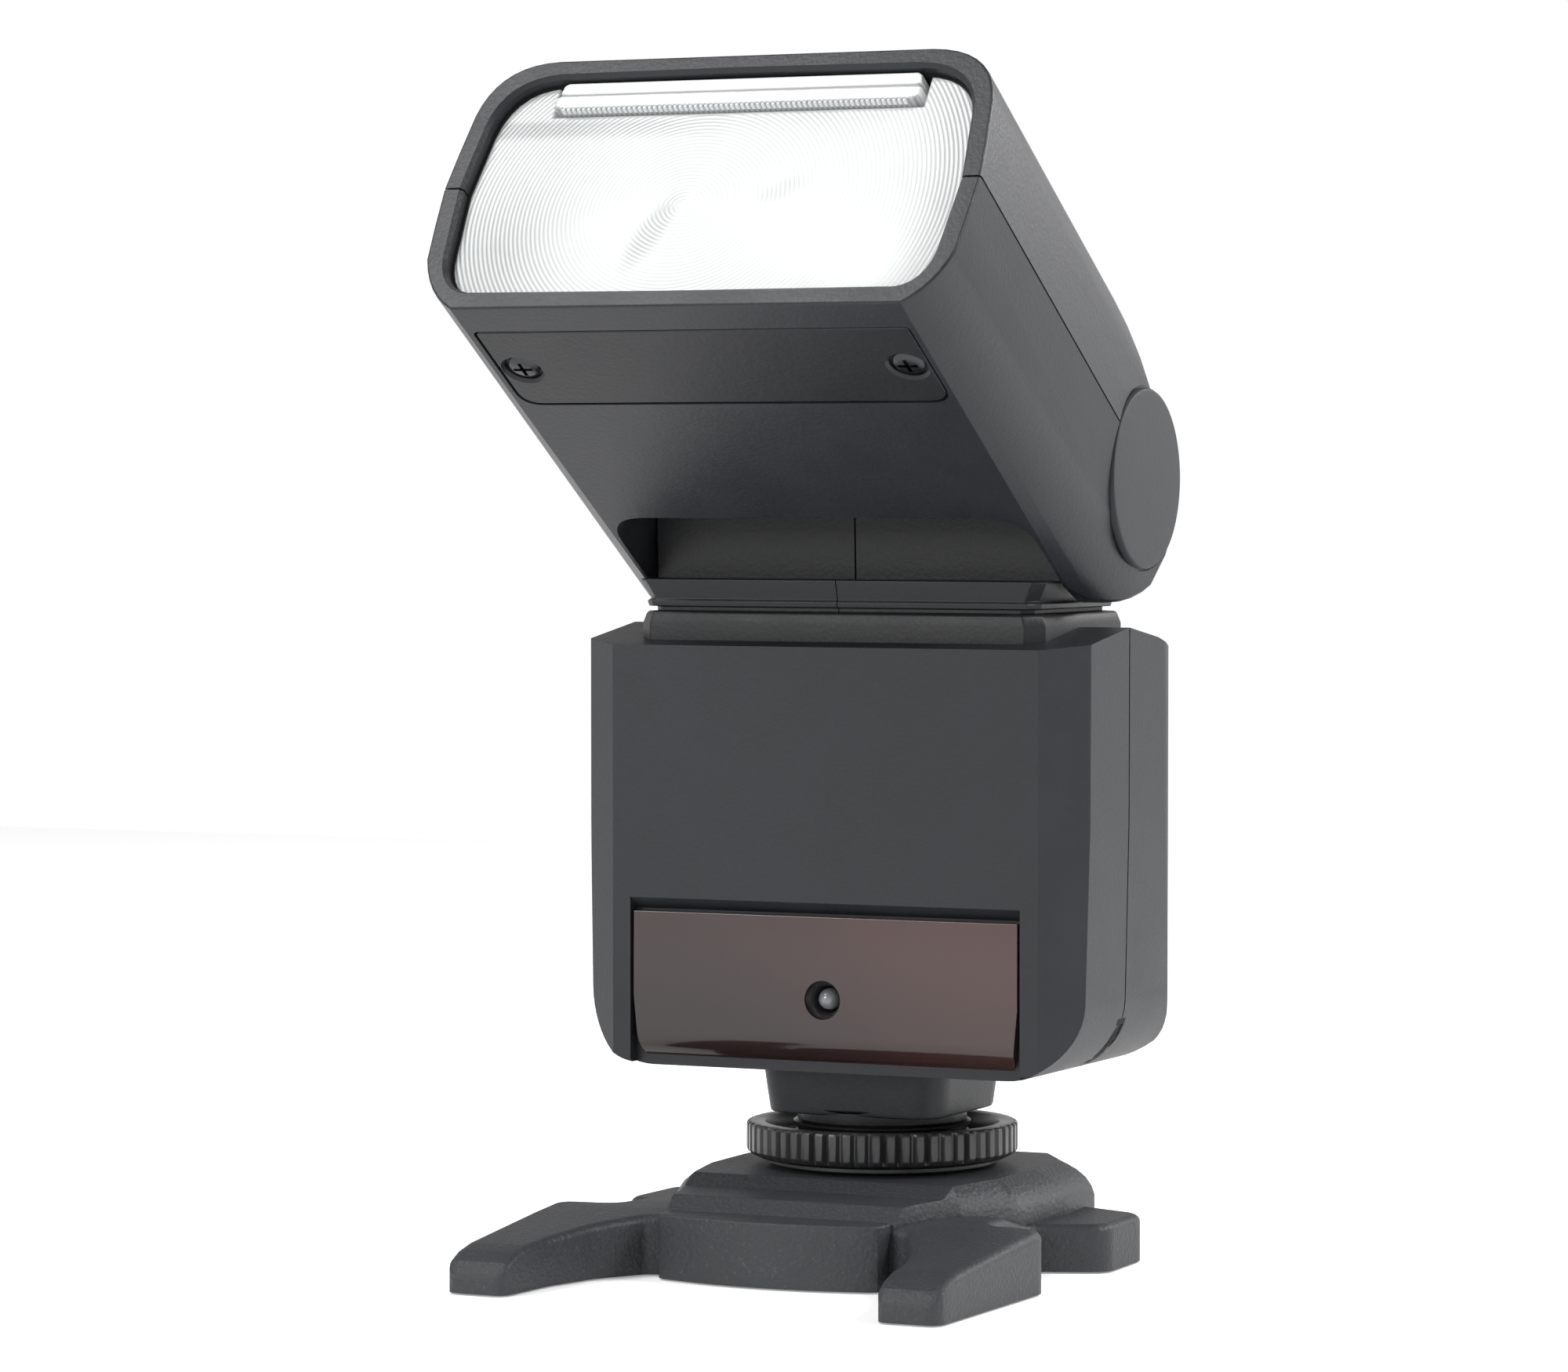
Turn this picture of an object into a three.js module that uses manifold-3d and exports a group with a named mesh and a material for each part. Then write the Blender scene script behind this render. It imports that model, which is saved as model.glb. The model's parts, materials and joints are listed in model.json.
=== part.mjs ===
// Compact two-cell speedlight flash on its four-legged mini stand.
// Millimetres, +Z up. The lens side faces -Y. X = 0 is the symmetry plane and the swivel axis
// passes through Y = AXIS_Y. Z = 0 is the underside of the stand.
import * as THREE from 'three';
import { mergeVertices } from 'three/addons/utils/BufferGeometryUtils.js';
import Module from 'manifold-3d';

const wasm = await Module();
wasm.setup();

// ---------------------------------------------------------------- driving dimensions
const AXIS_Y = 15.54;            // swivel axis, so that the origin is under the middle of the box
const GAP = 0.3;                 // clearance between neighbouring pieces
const ROUND = 20;                // segments of an ordinary round piece

const STAND = { frontY: -33.2, frontX: 13.6, rearY: 23.5, topZ: 7, pedestalZ: 7.2, blockZ: 10.2,
  blockBaseZ: 6, floorZ: 6.4, lipZ: 8.8, slotX: 9.6, lipX: 6.5, slotFrontY: -9.6,
  threadR: 4.5, threadBore: 2.7, threadTop: 5.2 };
const FOOT = { x: 9.2, y: 9, z: [6.6, 8.5], postX: 5.9, postY: 6, blockZ: [17.4, 21.8],
  blockTop: [11.4, 10.2], blockBottom: [10.6, 9.4], collarR: 10.2, collarZ: [13.2, 17.1],
  pinY: -7.6, pinR: 0.9, contactR: 1.0, contactSmallR: 0.6 };
const RING = { r: 15.6, z: [11.4, 15.0], boreR: 10.6, dishR: 13.2, dishZ: 13.6, ribs: 48,
  ribDepth: 0.5, washerR: 13.2, washerZ: [10.4, 11.1] };
const CASE = { x: 31, faceX: 26.2, frontY: -16.5, chamferY: -12.9, partingY: -1.4, sideEndY: 8.1,
  rearY: 16.1, bottomZ: 22, topFrontZ: 70, topZ: 72.2, topRearZ: 69.2, wall: 2.6, cornerR: 9 };
const WINDOW = { x: 23.7, z: [22.4, 39.7], y: [-16.3, -15.1], holeR: 2.2, holeZ: 30.3 };
const CELL = { r: 7.1, x: [-26.8, 22.6], y: -4.1, z: [38, 53] };
const DOOR = { y: [-11.2, 6.0], z: [28.2, 63.8], x: [-31, -29.9], pinY: 7.0, pinX: -30.4,
  pinR: 0.6, slide: 3 };
const REAR = { lcd: { x: 17, z: [44, 63] }, buttonX: [-16.5, -5.5, 5.5, 16.5], buttonZ: 39.6,
  dial: { x: 11, z: 30.8, r: 6.2 }, test: { x: -12.5, z: 33.6 }, power: { x: -14.5, z: 27.9 } };
const NECK = { plinthX: 24.6, plinthY: 13, plinthTop: 73.3, slabX: 25.3, slabZ: [73.65, 77.4],
  barrelX: 25.0, tubeR: 9.4, tubeBore: 6.4, flangeR: 12 };
const HINGE = { y: 1.5, z: 88.9, shaftR: 2.5, barrelR: 9.3 };
const HEAD = { tilt: 33, front: 57, rear: 10.3, top: 18.1, bottom: -15.2, partT: 0.75,
  cavityRear: 17.3, pocketFront: 15.2, pocketX: 25.7, coverR: 10.2 };
const LENS = { front: 53.6, rear: 51.6, top: 11.3 };
const PANEL = { x: 21.6, t: [11.7, 13.0], front: 54.4, length: 37 };
const CARD = { x: 21.0, t: [13.5, 14.1], front: 54.2, length: 36 };
const ZOOM = { reflectorFront: 50.4, reflectorDepth: 9.5, carriage: 2, rodX: 26.5, rodR: 0.8,
  screwX: -25.6, screwT: -4, screwR: 0.9, motorR: 3.2 };

// ---------------------------------------------------------------- materials
const finish = (color, roughness, metalness = 0, extra = {}) =>
  new THREE.MeshStandardMaterial({ color, roughness, metalness, flatShading: true, ...extra });
const MATT_BLACK = 0x2b2c2f;
const DARK_GREY = 0x35363a;
const STAND_GREY = 0x303236;

// ---------------------------------------------------------------- solids
function solid(geometry) {
  const bare = geometry.clone();
  bare.deleteAttribute('normal');
  bare.deleteAttribute('uv');
  const merged = mergeVertices(bare, 1e-4);
  return new wasm.Manifold(new wasm.Mesh({
    numProp: 3,
    vertProperties: new Float32Array(merged.attributes.position.array),
    triVerts: new Uint32Array(merged.index.array),
  }));
}

function piece(name, body, material) {
  const { vertProperties, triVerts } = body.getMesh();
  const geometry = new THREE.BufferGeometry();
  geometry.setAttribute('position', new THREE.BufferAttribute(vertProperties, 3));
  geometry.setIndex(new THREE.BufferAttribute(triVerts, 1));
  geometry.computeVertexNormals();
  const mesh = new THREE.Mesh(geometry, material);
  mesh.name = name;
  return mesh;
}

const extrude = (shape, depth, curveSegments) =>
  new THREE.ExtrudeGeometry(shape, { depth, bevelEnabled: false, curveSegments });

// A prism of an (x, y) outline between two heights.
const prismZ = (shape, z0, z1, segments = 5) =>
  solid(extrude(shape, z1 - z0, segments).translate(0, 0, z0));

// A prism of an (x, z) outline between two depths.
const prismY = (shape, y0, y1, segments = 5) =>
  solid(extrude(shape, y1 - y0, segments).rotateX(Math.PI / 2).translate(0, y1, 0));

// A prism of a (y, z) outline between two sides.
function prismX(shape, x0, x1, segments = 5) {
  const turn = new THREE.Matrix4().set(0, 0, 1, x0, 1, 0, 0, 0, 0, 1, 0, 0, 0, 0, 0, 1);
  return solid(extrude(shape, x1 - x0, segments).applyMatrix4(turn));
}

const box = (x0, x1, y0, y1, z0, z1) =>
  solid(new THREE.BoxGeometry(x1 - x0, y1 - y0, z1 - z0).translate((x0 + x1) / 2, (y0 + y1) / 2,
    (z0 + z1) / 2));

const rodZ = (r, z0, z1, x = 0, y = 0, n = ROUND) =>
  solid(new THREE.CylinderGeometry(r, r, z1 - z0, n).rotateX(Math.PI / 2).translate(x, y, (z0 + z1) / 2));
const rodY = (r, y0, y1, x = 0, z = 0, n = ROUND) =>
  solid(new THREE.CylinderGeometry(r, r, y1 - y0, n).translate(x, (y0 + y1) / 2, z));
const rodX = (r, x0, x1, y = 0, z = 0, n = ROUND) =>
  solid(new THREE.CylinderGeometry(r, r, x1 - x0, n).rotateZ(Math.PI / 2).translate((x0 + x1) / 2, y, z));

function outline(points) {
  const shape = new THREE.Shape();
  points.forEach(([x, y], i) => (i ? shape.lineTo(x, y) : shape.moveTo(x, y)));
  return shape;
}

// The right half of a symmetric outline, from bottom to top, mirrored into a closed one.
const symmetric = (half) => outline([...half, ...half.slice().reverse().map(([x, y]) => [-x, y])]);

function roundedRect(x0, x1, y0, y1, r) {
  const shape = new THREE.Shape();
  shape.moveTo(x0 + r, y0);
  shape.lineTo(x1 - r, y0);
  shape.absarc(x1 - r, y0 + r, r, -Math.PI / 2, 0);
  shape.lineTo(x1, y1 - r);
  shape.absarc(x1 - r, y1 - r, r, 0, Math.PI / 2);
  shape.lineTo(x0 + r, y1);
  shape.absarc(x0 + r, y1 - r, r, Math.PI / 2, Math.PI);
  shape.lineTo(x0, y0 + r);
  shape.absarc(x0 + r, y0 + r, r, Math.PI, 1.5 * Math.PI);
  return shape;
}

// Points of an arc about (cx, cy), angles in degrees.
function arc(cx, cy, r, from, to, steps) {
  return Array.from({ length: steps + 1 }, (_, i) => {
    const a = THREE.MathUtils.degToRad(from + ((to - from) * i) / steps);
    return [cx + r * Math.cos(a), cy + r * Math.sin(a)];
  });
}

// ---------------------------------------------------------------- stand
// Half outline of legs and waist, seen from above, from the front leg round to the back.
const LEG_EDGE = [[13.8, -28.2], [16.2, -29.2], [19.4, -34.5], [21.3, -41], [22.1, -49.6], [23.7, -50.9],
  [28, -50.9], [29.5, -49.4], [29.9, -25], [27.7, -22.6], [24, -21.8], [21.8, -19], [21.8, -9.2],
  [23.6, -6.6], [28, -4.9], [30.2, -2], [29.8, 11], [27, 14.6], [22, 17], [16.5, 23.5], [0, 23.5]];
// Height of the legs from the front tips to the back, as (y, z).
const LEG_TOP = [[-51, 1], [-50.8, 2.3], [-49.7, 3.5], [-47.9, 4.4], [-45.5, 4.95], [-38, 5.6], [-25, 6.9],
  [-20, 7], [22.5, 7], [23.6, 6]];
const BLOCK_EDGE = [[0, -27.6], [14, -27.6], [14.6, -21], [16.4, -17], [18.6, -9], [19.2, 2], [18.4, 12],
  [14, 19], [0, 21]];
// Stepped side profile of the shoe block, as (y, z) above its base.
const BLOCK_TOP = [[-27.6, 7.1], [-25.2, 8.6], [-18.6, 8.9], [-16.2, 10.2], [17, 10.2], [20, 8.2], [21, 7]];

function pedestalPlan(rearY) {
  const { frontY: y, frontX: x } = STAND;
  return symmetric([[0, y], [x * 0.55, y + 0.5], [x * 0.93, y + 1.9], [x, y + 3.2], [x, rearY], [0,
    rearY]]);
}

function miniStand() {
  const s = STAND;
  const legs = prismZ(symmetric([[0, -28.2], ...LEG_EDGE]), 0, s.topZ)
    .intersect(prismX(outline([[LEG_TOP[0][0], 0], ...LEG_TOP, [23.6, 0]]), -40, 40));
  const ends = [BLOCK_TOP[0][0], BLOCK_TOP[BLOCK_TOP.length - 1][0]];
  const profile = outline([[ends[0], s.blockBaseZ], ...BLOCK_TOP, [ends[1], s.blockBaseZ]]);
  const block = prismZ(symmetric(BLOCK_EDGE), s.blockBaseZ, s.blockZ).intersect(prismX(profile, -40, 40));
  let body = legs.add(prismZ(pedestalPlan(-20), 0, s.pedestalZ)).add(block);
  body = body.subtract(box(-s.slotX, s.slotX, s.slotFrontY, s.rearY + 1, s.floorZ, s.lipZ));
  body = body.subtract(box(-s.lipX, s.lipX, s.slotFrontY, s.rearY + 1, s.floorZ, s.blockZ + 1));
  body = body.subtract(rodZ(s.threadR + GAP, -1, s.threadTop + GAP));
  return piece('mini_stand', body, finish(STAND_GREY, 0.6));
}

function threadInsert() {
  const s = STAND;
  const body = rodZ(s.threadR, 0.4, s.threadTop).subtract(rodZ(s.threadBore, 0, s.threadTop + 1));
  return piece('tripod_thread_insert', body, finish(0xb08d4a, 0.35, 1));
}

// ---------------------------------------------------------------- foot and lock ring
const contactPlaces = [['centre', 0, 0, FOOT.contactR], ['front_left', 3.4, -3.6, FOOT.contactSmallR],
  ['front_right', -3.4, -3.6, FOOT.contactSmallR], ['rear_left', 3.4, 2.8, FOOT.contactSmallR],
  ['rear_right', -3.4, 2.8, FOOT.contactSmallR]];

function shoeFoot() {
  const f = FOOT;
  let body = prismZ(roundedRect(-f.x, f.x, -f.y, f.y, 1), f.z[0], f.z[1], 2);
  body = body.add(box(-f.postX, f.postX, -f.postY, f.postY, f.z[1] - 0.5, 13));
  body = body.subtract(rodZ(f.pinR + GAP, 6, 9, 0, f.pinY, 12));
  for (const [, x, y, r] of contactPlaces) body = body.subtract(rodZ(r + 0.25, 6, 10, x, y, 10));
  return piece('shoe_foot', body, finish(0x2a2a2c, 0.45));
}

function hotshoeContacts() {
  return contactPlaces.map(([place, x, y, r]) =>
    piece(`contact_pin_${place}`, rodZ(r, FOOT.z[0], 9.6, x, y, 10), finish(0xc9a45a, 0.3, 1)));
}

function lockingPin() {
  return piece('locking_pin', rodZ(FOOT.pinR, FOOT.z[0] + 0.1, RING.washerZ[0] - 0.1, 0, FOOT.pinY, 12),
    finish(0xb9bbbd, 0.3, 1));
}

function clampWasher() {
  const hole = box(-FOOT.postX - GAP, FOOT.postX + GAP, -FOOT.postY - GAP, FOOT.postY + GAP, 9, 13);
  const body = rodZ(RING.washerR, RING.washerZ[0], RING.washerZ[1], 0, 0, 32).subtract(hole);
  return piece('clamp_washer', body, finish(0x1f2022, 0.5));
}

// The knurled ring: ribs all round, a dished top, and a chamfered lower edge.
function lockRing() {
  const g = RING;
  const knurl = Array.from({ length: g.ribs * 2 }, (_, i) => {
    const a = (Math.PI * i) / g.ribs;
    const r = i % 2 ? g.r : g.r - g.ribDepth;
    return [r * Math.cos(a), r * Math.sin(a)];
  });
  const profile = [[0, g.z[0]], [g.r - 1.4, g.z[0]], [g.r + 0.2, g.z[0] + 1], [g.r + 0.2, g.z[1] - 0.3],
    [g.r - 0.3, g.z[1]], [g.dishR, g.z[1]], [g.dishR - 1, g.dishZ], [0, g.dishZ]];
  const lathePoints = profile.map(([r, z]) => new THREE.Vector2(r, z));
  const turned = new THREE.LatheGeometry(lathePoints, 48).rotateX(Math.PI / 2);
  const body = prismZ(outline(knurl), g.z[0], g.z[1]).intersect(solid(turned))
    .subtract(rodZ(g.boreR, 10, 20, 0, 0, 32));
  return piece('lock_ring', body, finish(0x1d1d1f, 0.4));
}

function threadedCollar() {
  const f = FOOT;
  const post = box(-f.postX - GAP, f.postX + GAP, -f.postY - GAP, f.postY + GAP, 12, 13.3);
  const body = rodZ(f.collarR, f.collarZ[0], f.collarZ[1], 0, 0, 32).subtract(post);
  return piece('threaded_collar', body, finish(0x161617, 0.45));
}

function footBlock() {
  const f = FOOT;
  const front = symmetric([[f.blockBottom[0], f.blockZ[0]], [f.blockTop[0], f.blockZ[1]]]);
  const side = symmetric([[f.blockBottom[1], f.blockZ[0]], [f.blockTop[1], f.blockZ[1]]]);
  const corners = roundedRect(-f.blockTop[0], f.blockTop[0], -f.blockTop[1], f.blockTop[1], 2.6);
  const body = prismZ(corners, f.blockZ[0], f.blockZ[1], 4).intersect(prismY(front, -20, 20))
    .intersect(prismX(side, -20, 20));
  return piece('foot_block', body, finish(MATT_BLACK, 0.5));
}

// ---------------------------------------------------------------- case
// The case's outer form, or its cavity when inset is the wall thickness.
function caseForm(inset) {
  const c = CASE;
  const x = c.x - inset;
  const rear = c.rearY - inset;
  const corner = 8 - inset;
  const plan = symmetric([[c.faceX - inset * 0.55, c.frontY + inset], [x, c.chamferY + inset * 0.4],
    [x, c.sideEndY], ...arc(x - corner, rear - corner, corner, 10, 90, 4)]);
  const r = c.cornerR - inset;
  const bottom = c.bottomZ + inset;
  const face = symmetric([[x - 0.5 - r, bottom], ...arc(x - 0.5 - r, bottom + r, r, -75, 0, 4),
    [x, c.topZ + 2]]);
  const side = outline([[c.frontY + inset, bottom + 0.8], [c.frontY + inset + 0.8, bottom], [rear - 3,
    bottom],
    [rear, bottom + 3], [rear, c.topRearZ - 2.5 - inset], [rear - 2, c.topRearZ - inset],
    [c.sideEndY - 0.6, c.topZ - 1.3 - inset],
    [c.partingY, c.topZ - inset], [c.frontY + inset, c.topFrontZ - inset]]);
  return prismZ(plan, bottom - 2, c.topZ + 1).intersect(prismY(face, -30, 30))
    .intersect(prismX(side, -40, 40));
}

const caseOuter = caseForm(0);
const caseWalls = caseOuter.subtract(caseForm(CASE.wall));

function withSharedOpenings(body) {
  const d = DOOR;
  return body
    .subtract(rodZ(NECK.tubeR + GAP, 60, 80, 0, 0, 24))
    .subtract(box(-40, d.x[1] + GAP, d.y[0] - GAP, 7.8, d.z[0] - d.slide - GAP, d.z[1] + GAP))
    .subtract(box(-40, -25, d.y[0] + 0.4, 3.4, 30.4, 60.6));
}

function frontShell() {
  const w = WINDOW;
  let body = caseWalls.intersect(box(-40, 40, -30, CASE.partingY - 0.15, 0, 100));
  body = withSharedOpenings(body);
  body = body.subtract(box(-w.x - 0.4, w.x + 0.4, -20, w.y[1] + GAP, 20, w.z[1] + 1.4));
  body = body.subtract(rodY(w.holeR, -20, -10, 0, w.holeZ, 16));
  return piece('front_shell', body, finish(MATT_BLACK, 0.5));
}

function rearShell() {
  const { lcd, buttonX, buttonZ, dial, test, power } = REAR;
  let body = caseWalls.intersect(box(-40, 40, CASE.partingY + 0.15, 30, 0, 100));
  body = withSharedOpenings(body);
  body = body.subtract(box(-lcd.x - GAP, lcd.x + GAP, 14.9, 20, lcd.z[0] - GAP, lcd.z[1] + GAP));
  body = body.subtract(box(-14, 14, 10, 20, lcd.z[0] + 3, lcd.z[1] - 3));
  for (const x of buttonX) body = body.subtract(box(x - 4.3, x + 4.3, 10, 20, buttonZ - 1.9,
    buttonZ + 1.9));
  body = body.subtract(rodY(dial.r + GAP, 10, 20, dial.x, dial.z, 24));
  body = body.subtract(box(test.x - 4.3, test.x + 4.3, 10, 20, test.z - 2.1, test.z + 2.1));
  body = body.subtract(box(power.x - 2.4, power.x + 6.4, 10, 20, power.z - 1.6, power.z + 1.6));
  return piece('rear_shell', body, finish(MATT_BLACK, 0.5));
}

function sensorWindow() {
  const w = WINDOW;
  const face = symmetric([[w.x - 2, w.z[0]], [w.x, w.z[0] + 5], [w.x, w.z[1]]]);
  const body = prismY(face, w.y[0], w.y[1]).subtract(rodY(w.holeR, -20, -10, 0, w.holeZ, 16));
  return piece('sensor_window', body, finish(0x2a1216, 0.08, 0, { transparent: true, opacity: 0.9 }));
}

function sensorLens() {
  const profile = [[0, 0], [1.8, 0], [1.8, 1.6], [1.5, 2.2], [0.9, 2.7], [0, 2.9]];
  const dome = new THREE.LatheGeometry(profile.map(([r, h]) => new THREE.Vector2(r, h)), 16);
  const body = solid(dome.rotateX(Math.PI).translate(0, -13.2, WINDOW.holeZ));
  return piece('sensor_lens', body, finish(0x8a9094, 0.1));
}

// ---------------------------------------------------------------- rear controls
function displayWindow() {
  const { lcd } = REAR;
  return piece('display_window', box(-lcd.x, lcd.x, 15.1, 16.1, lcd.z[0], lcd.z[1]), finish(0x15181a,
    0.08));
}

function displayModule() {
  const { lcd } = REAR;
  return piece('display_module', box(-13.5, 13.5, 11, 13.2, lcd.z[0] + 1, lcd.z[1] - 1), finish(0x6f7d72,
    0.4));
}

function controlButtons() {
  return REAR.buttonX.map((x, i) => piece(`control_button_${i + 1}`,
    prismY(roundedRect(x - 4, x + 4, REAR.buttonZ - 1.6, REAR.buttonZ + 1.6, 1), 13.4, 16.9, 3),
    finish(0x3c3d40, 0.5)));
}

function selectDial() {
  const { x, z, r } = REAR.dial;
  const body = rodY(r, 13.6, 17.6, x, z, 28).subtract(rodY(3, 10, 20, x, z, 16));
  return piece('select_dial', body, finish(0x29292b, 0.45));
}

function setButton() {
  const { x, z } = REAR.dial;
  return piece('set_button', rodY(2.6, 13.2, 17.2, x, z, 16), finish(0x3c3d40, 0.5));
}

function testButton() {
  const { x, z } = REAR.test;
  return piece('test_button', prismY(roundedRect(x - 4, x + 4, z - 1.8, z + 1.8, 1.2), 13.4, 16.9, 3),
    finish(0x9a2d22, 0.3));
}

function powerSwitch() {
  const { x, z } = REAR.power;
  return piece('power_switch', prismY(roundedRect(x - 2.1, x + 2.1, z - 1.3, z + 1.3, 0.5), 12.9, 17.1, 2),
    finish(0x3c3d40, 0.5));
}

// ---------------------------------------------------------------- battery bay and electronics
function batteryDoor() {
  const d = DOOR;
  const face = outline([[d.x[0], d.z[0]], [d.x[1], d.z[0]], [d.x[1], d.z[1]], [d.x[0], d.z[1]]]);
  return piece('battery_door', prismY(face, d.y[0], d.y[1]), finish(MATT_BLACK, 0.5));
}

function doorHingePin() {
  const d = DOOR;
  return piece('door_hinge_pin', rodZ(d.pinR, d.z[0] + 0.5, d.z[1] - 0.5, d.pinX, d.pinY, 10),
    finish(0xb9bbbd, 0.3, 1));
}

function doorContact() {
  const d = DOOR;
  return piece('door_contact', box(d.x[1] + 0.1, d.x[1] + 0.6, -6.5, -1.7, 36, 55), finish(0xc4c4c0, 0.3,
    1));
}

function aaCell(index) {
  const z = CELL.z[index];
  const flip = index ? -1 : 1;
  const [x0, x1] = CELL.x;
  const nub = flip > 0 ? rodX(2.7, x1 - 1, x1 + 1, CELL.y, z, 12) : rodX(2.7, x0 - 1, x0 + 1, CELL.y, z,
    12);
  return piece(`aa_cell_${index + 1}`, rodX(CELL.r, x0, x1, CELL.y, z).add(nub), finish(0x2f6f3e, 0.35));
}

function batteryTerminal(index) {
  const z = CELL.z[index];
  return piece(`battery_terminal_${index + 1}`, box(24.2, 24.8, CELL.y - 5, CELL.y + 5, z - 5, z + 5),
    finish(0xc4c4c0, 0.3, 1));
}

function mainBoard() {
  return piece('main_board', box(-23, 23, 7.2, 8.8, 27, 64), finish(0x1f5a35, 0.5));
}

function chargingTransformer() {
  return piece('charging_transformer', box(14, 24, -9, 1, 61.2, 66.4), finish(0x5b4a2f, 0.5));
}

// ---------------------------------------------------------------- swivel and tilt
function swivelPlinth() {
  const n = NECK;
  const body = prismZ(roundedRect(-n.plinthX, n.plinthX, -n.plinthY, n.plinthY, 3), 68, n.plinthTop, 3)
    .subtract(caseOuter.translate([0, 0, 0.1]))
    .subtract(box(-40, 40, -30, 30, 60, 69.9))
    .subtract(rodZ(n.tubeR + GAP, 60, 80, 0, 0, 24));
  return piece('swivel_plinth', body, finish(MATT_BLACK, 0.5));
}

function swivelTube() {
  const n = NECK;
  const body = rodZ(n.tubeR, 65, n.slabZ[0] - 0.1, 0, 0, 24).add(rodZ(n.flangeR, 64, 65.6, 0, 0, 24))
    .subtract(rodZ(n.tubeBore, 60, 80));
  return piece('swivel_tube', body, finish(DARK_GREY, 0.45));
}

// One half of the neck: the bevelled slab over the swivel, the web and the hinge barrel.
function neckHalf(side) {
  const n = NECK;
  const h = HINGE;
  const slab = outline([[-13, n.slabZ[0]], [12.6, n.slabZ[0]], [12.6, n.slabZ[1] - 1], [11, n.slabZ[1]],
    [-12.6, n.slabZ[1]], [-13, n.slabZ[1] - 0.4]]);
  const web = outline([[-6.6, n.slabZ[1] - 1], [9.6, n.slabZ[1] - 1], [h.y + h.barrelR, h.z - 1],
    [h.y - h.barrelR, h.z - 1]]);
  const slabFace = outline([[0.15, 70], [n.slabX - 2, 70], [n.slabX, n.slabZ[0] + 1], [n.slabX,
    n.slabZ[1] - 1.6],
    [n.slabX - 1.6, n.slabZ[1]], [n.slabX - 1.6, 80], [0.15, 80]]);
  let body = prismX(slab, 0.15, n.slabX).intersect(prismY(slabFace, -20, 20));
  body = body.add(prismX(web, 0.15, n.barrelX)).add(rodX(h.barrelR, 0.15, n.barrelX, h.y, h.z, 28));
  body = body.subtract(rodX(h.shaftR + GAP, -40, 40, h.y, h.z, 16)).subtract(rodZ(n.tubeBore - 2, 60,
    h.z - 6));
  if (side < 0) body = body.mirror([1, 0, 0]);
  return piece(side > 0 ? 'neck_left_half' : 'neck_right_half', body, finish(0x232427, 0.5));
}

function tiltShaft() {
  const h = HINGE;
  return piece('tilt_shaft', rodX(h.shaftR, -29.8, 29.8, h.y, h.z, 16), finish(0xa8aaac, 0.3, 1));
}

// ---------------------------------------------------------------- head, in its own frame
// Head frame: the origin is on the tilt axis, -Y runs to the lens and +Z is the head's top.
const outerSection = symmetric([[26.8, HEAD.bottom], [29.6, -12.6], [31.4, -8.6], [32, HEAD.partT],
  [31.2, 10.4],
  [29.6, 14], [26.6, 16.9], [22.4, HEAD.top]]);
const innerSection = symmetric([[25.4, -12.9], [27.6, -11.2], [29.0, -8.2], [29.6, HEAD.partT], [28.9, 9.2],
  [27.4, 12.2], [24.8, 14.4], [21.6, 15.1]]);

function headSide() {
  const shape = new THREE.Shape();
  shape.moveTo(-HEAD.front, HEAD.bottom);
  shape.lineTo(-1, HEAD.bottom);
  shape.bezierCurveTo(5, HEAD.bottom, HEAD.rear, -10, HEAD.rear, -2);
  shape.lineTo(HEAD.rear, 0);
  shape.bezierCurveTo(HEAD.rear, 6, 5, 9, -1, 10);
  shape.bezierCurveTo(-7, 15, -12, HEAD.top, -24, HEAD.top);
  shape.lineTo(-HEAD.front, HEAD.top);
  return shape;
}

function headForm() {
  const h = HEAD;
  const pocket = outline([[-h.pocketFront, -20], [-h.pocketFront, -10.5], ...arc(0, 0, 10.6, 195, 90, 5),
    [16, 10.6], [20, -20]]);
  return prismY(outerSection, -h.front, h.rear + 2)
    .intersect(prismX(headSide(), -40, 40, 6))
    .subtract(prismY(innerSection, -h.front - 1, -h.cavityRear))
    .subtract(prismX(pocket, -h.pocketX, h.pocketX))
    .subtract(rodX(HINGE.shaftR + GAP, -40, 40, 0, 0, 16))
    .subtract(rodX(h.coverR + GAP, 31.2, 40, 0, 0, 32))
    .subtract(rodX(h.coverR + GAP, -40, -31.2, 0, 0, 32));
}

const headWalls = headForm();

function headUpperShell() {
  const body = headWalls.intersect(box(-40, 40, -80, 40, HEAD.partT + 0.15, 40));
  return piece('head_upper_shell', body, finish(DARK_GREY, 0.5));
}

function headLowerShell() {
  let body = headWalls.intersect(box(-40, 40, -80, 40, -40, HEAD.partT - 0.15));
  body = body.subtract(box(-26, 26, -53, -38, -16, HEAD.bottom + 0.8));
  for (const x of [-23, 23]) body = body.subtract(rodZ(1.1, -20, -12, x, -45, 10));
  return piece('head_lower_shell', body, finish(DARK_GREY, 0.5));
}

function labelPlate() {
  let body = prismZ(roundedRect(-25.7, 25.7, -52.7, -38.3, 2.4), HEAD.bottom, HEAD.bottom + 0.5, 3);
  for (const x of [-23, 23]) body = body.subtract(rodZ(1.9, -20, -10, x, -45, 14));
  return piece('label_plate', body, finish(0x202124, 0.55));
}

function headScrew(side) {
  const x = side * 23;
  const body = rodZ(1.6, HEAD.bottom - 0.1, HEAD.bottom + 0.5, x, -45, 12).add(rodZ(0.8, HEAD.bottom,
    -13.2, x, -45, 10));
  return piece(side > 0 ? 'head_screw_left' : 'head_screw_right', body, finish(0x4a4b4d, 0.35, 1));
}

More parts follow.
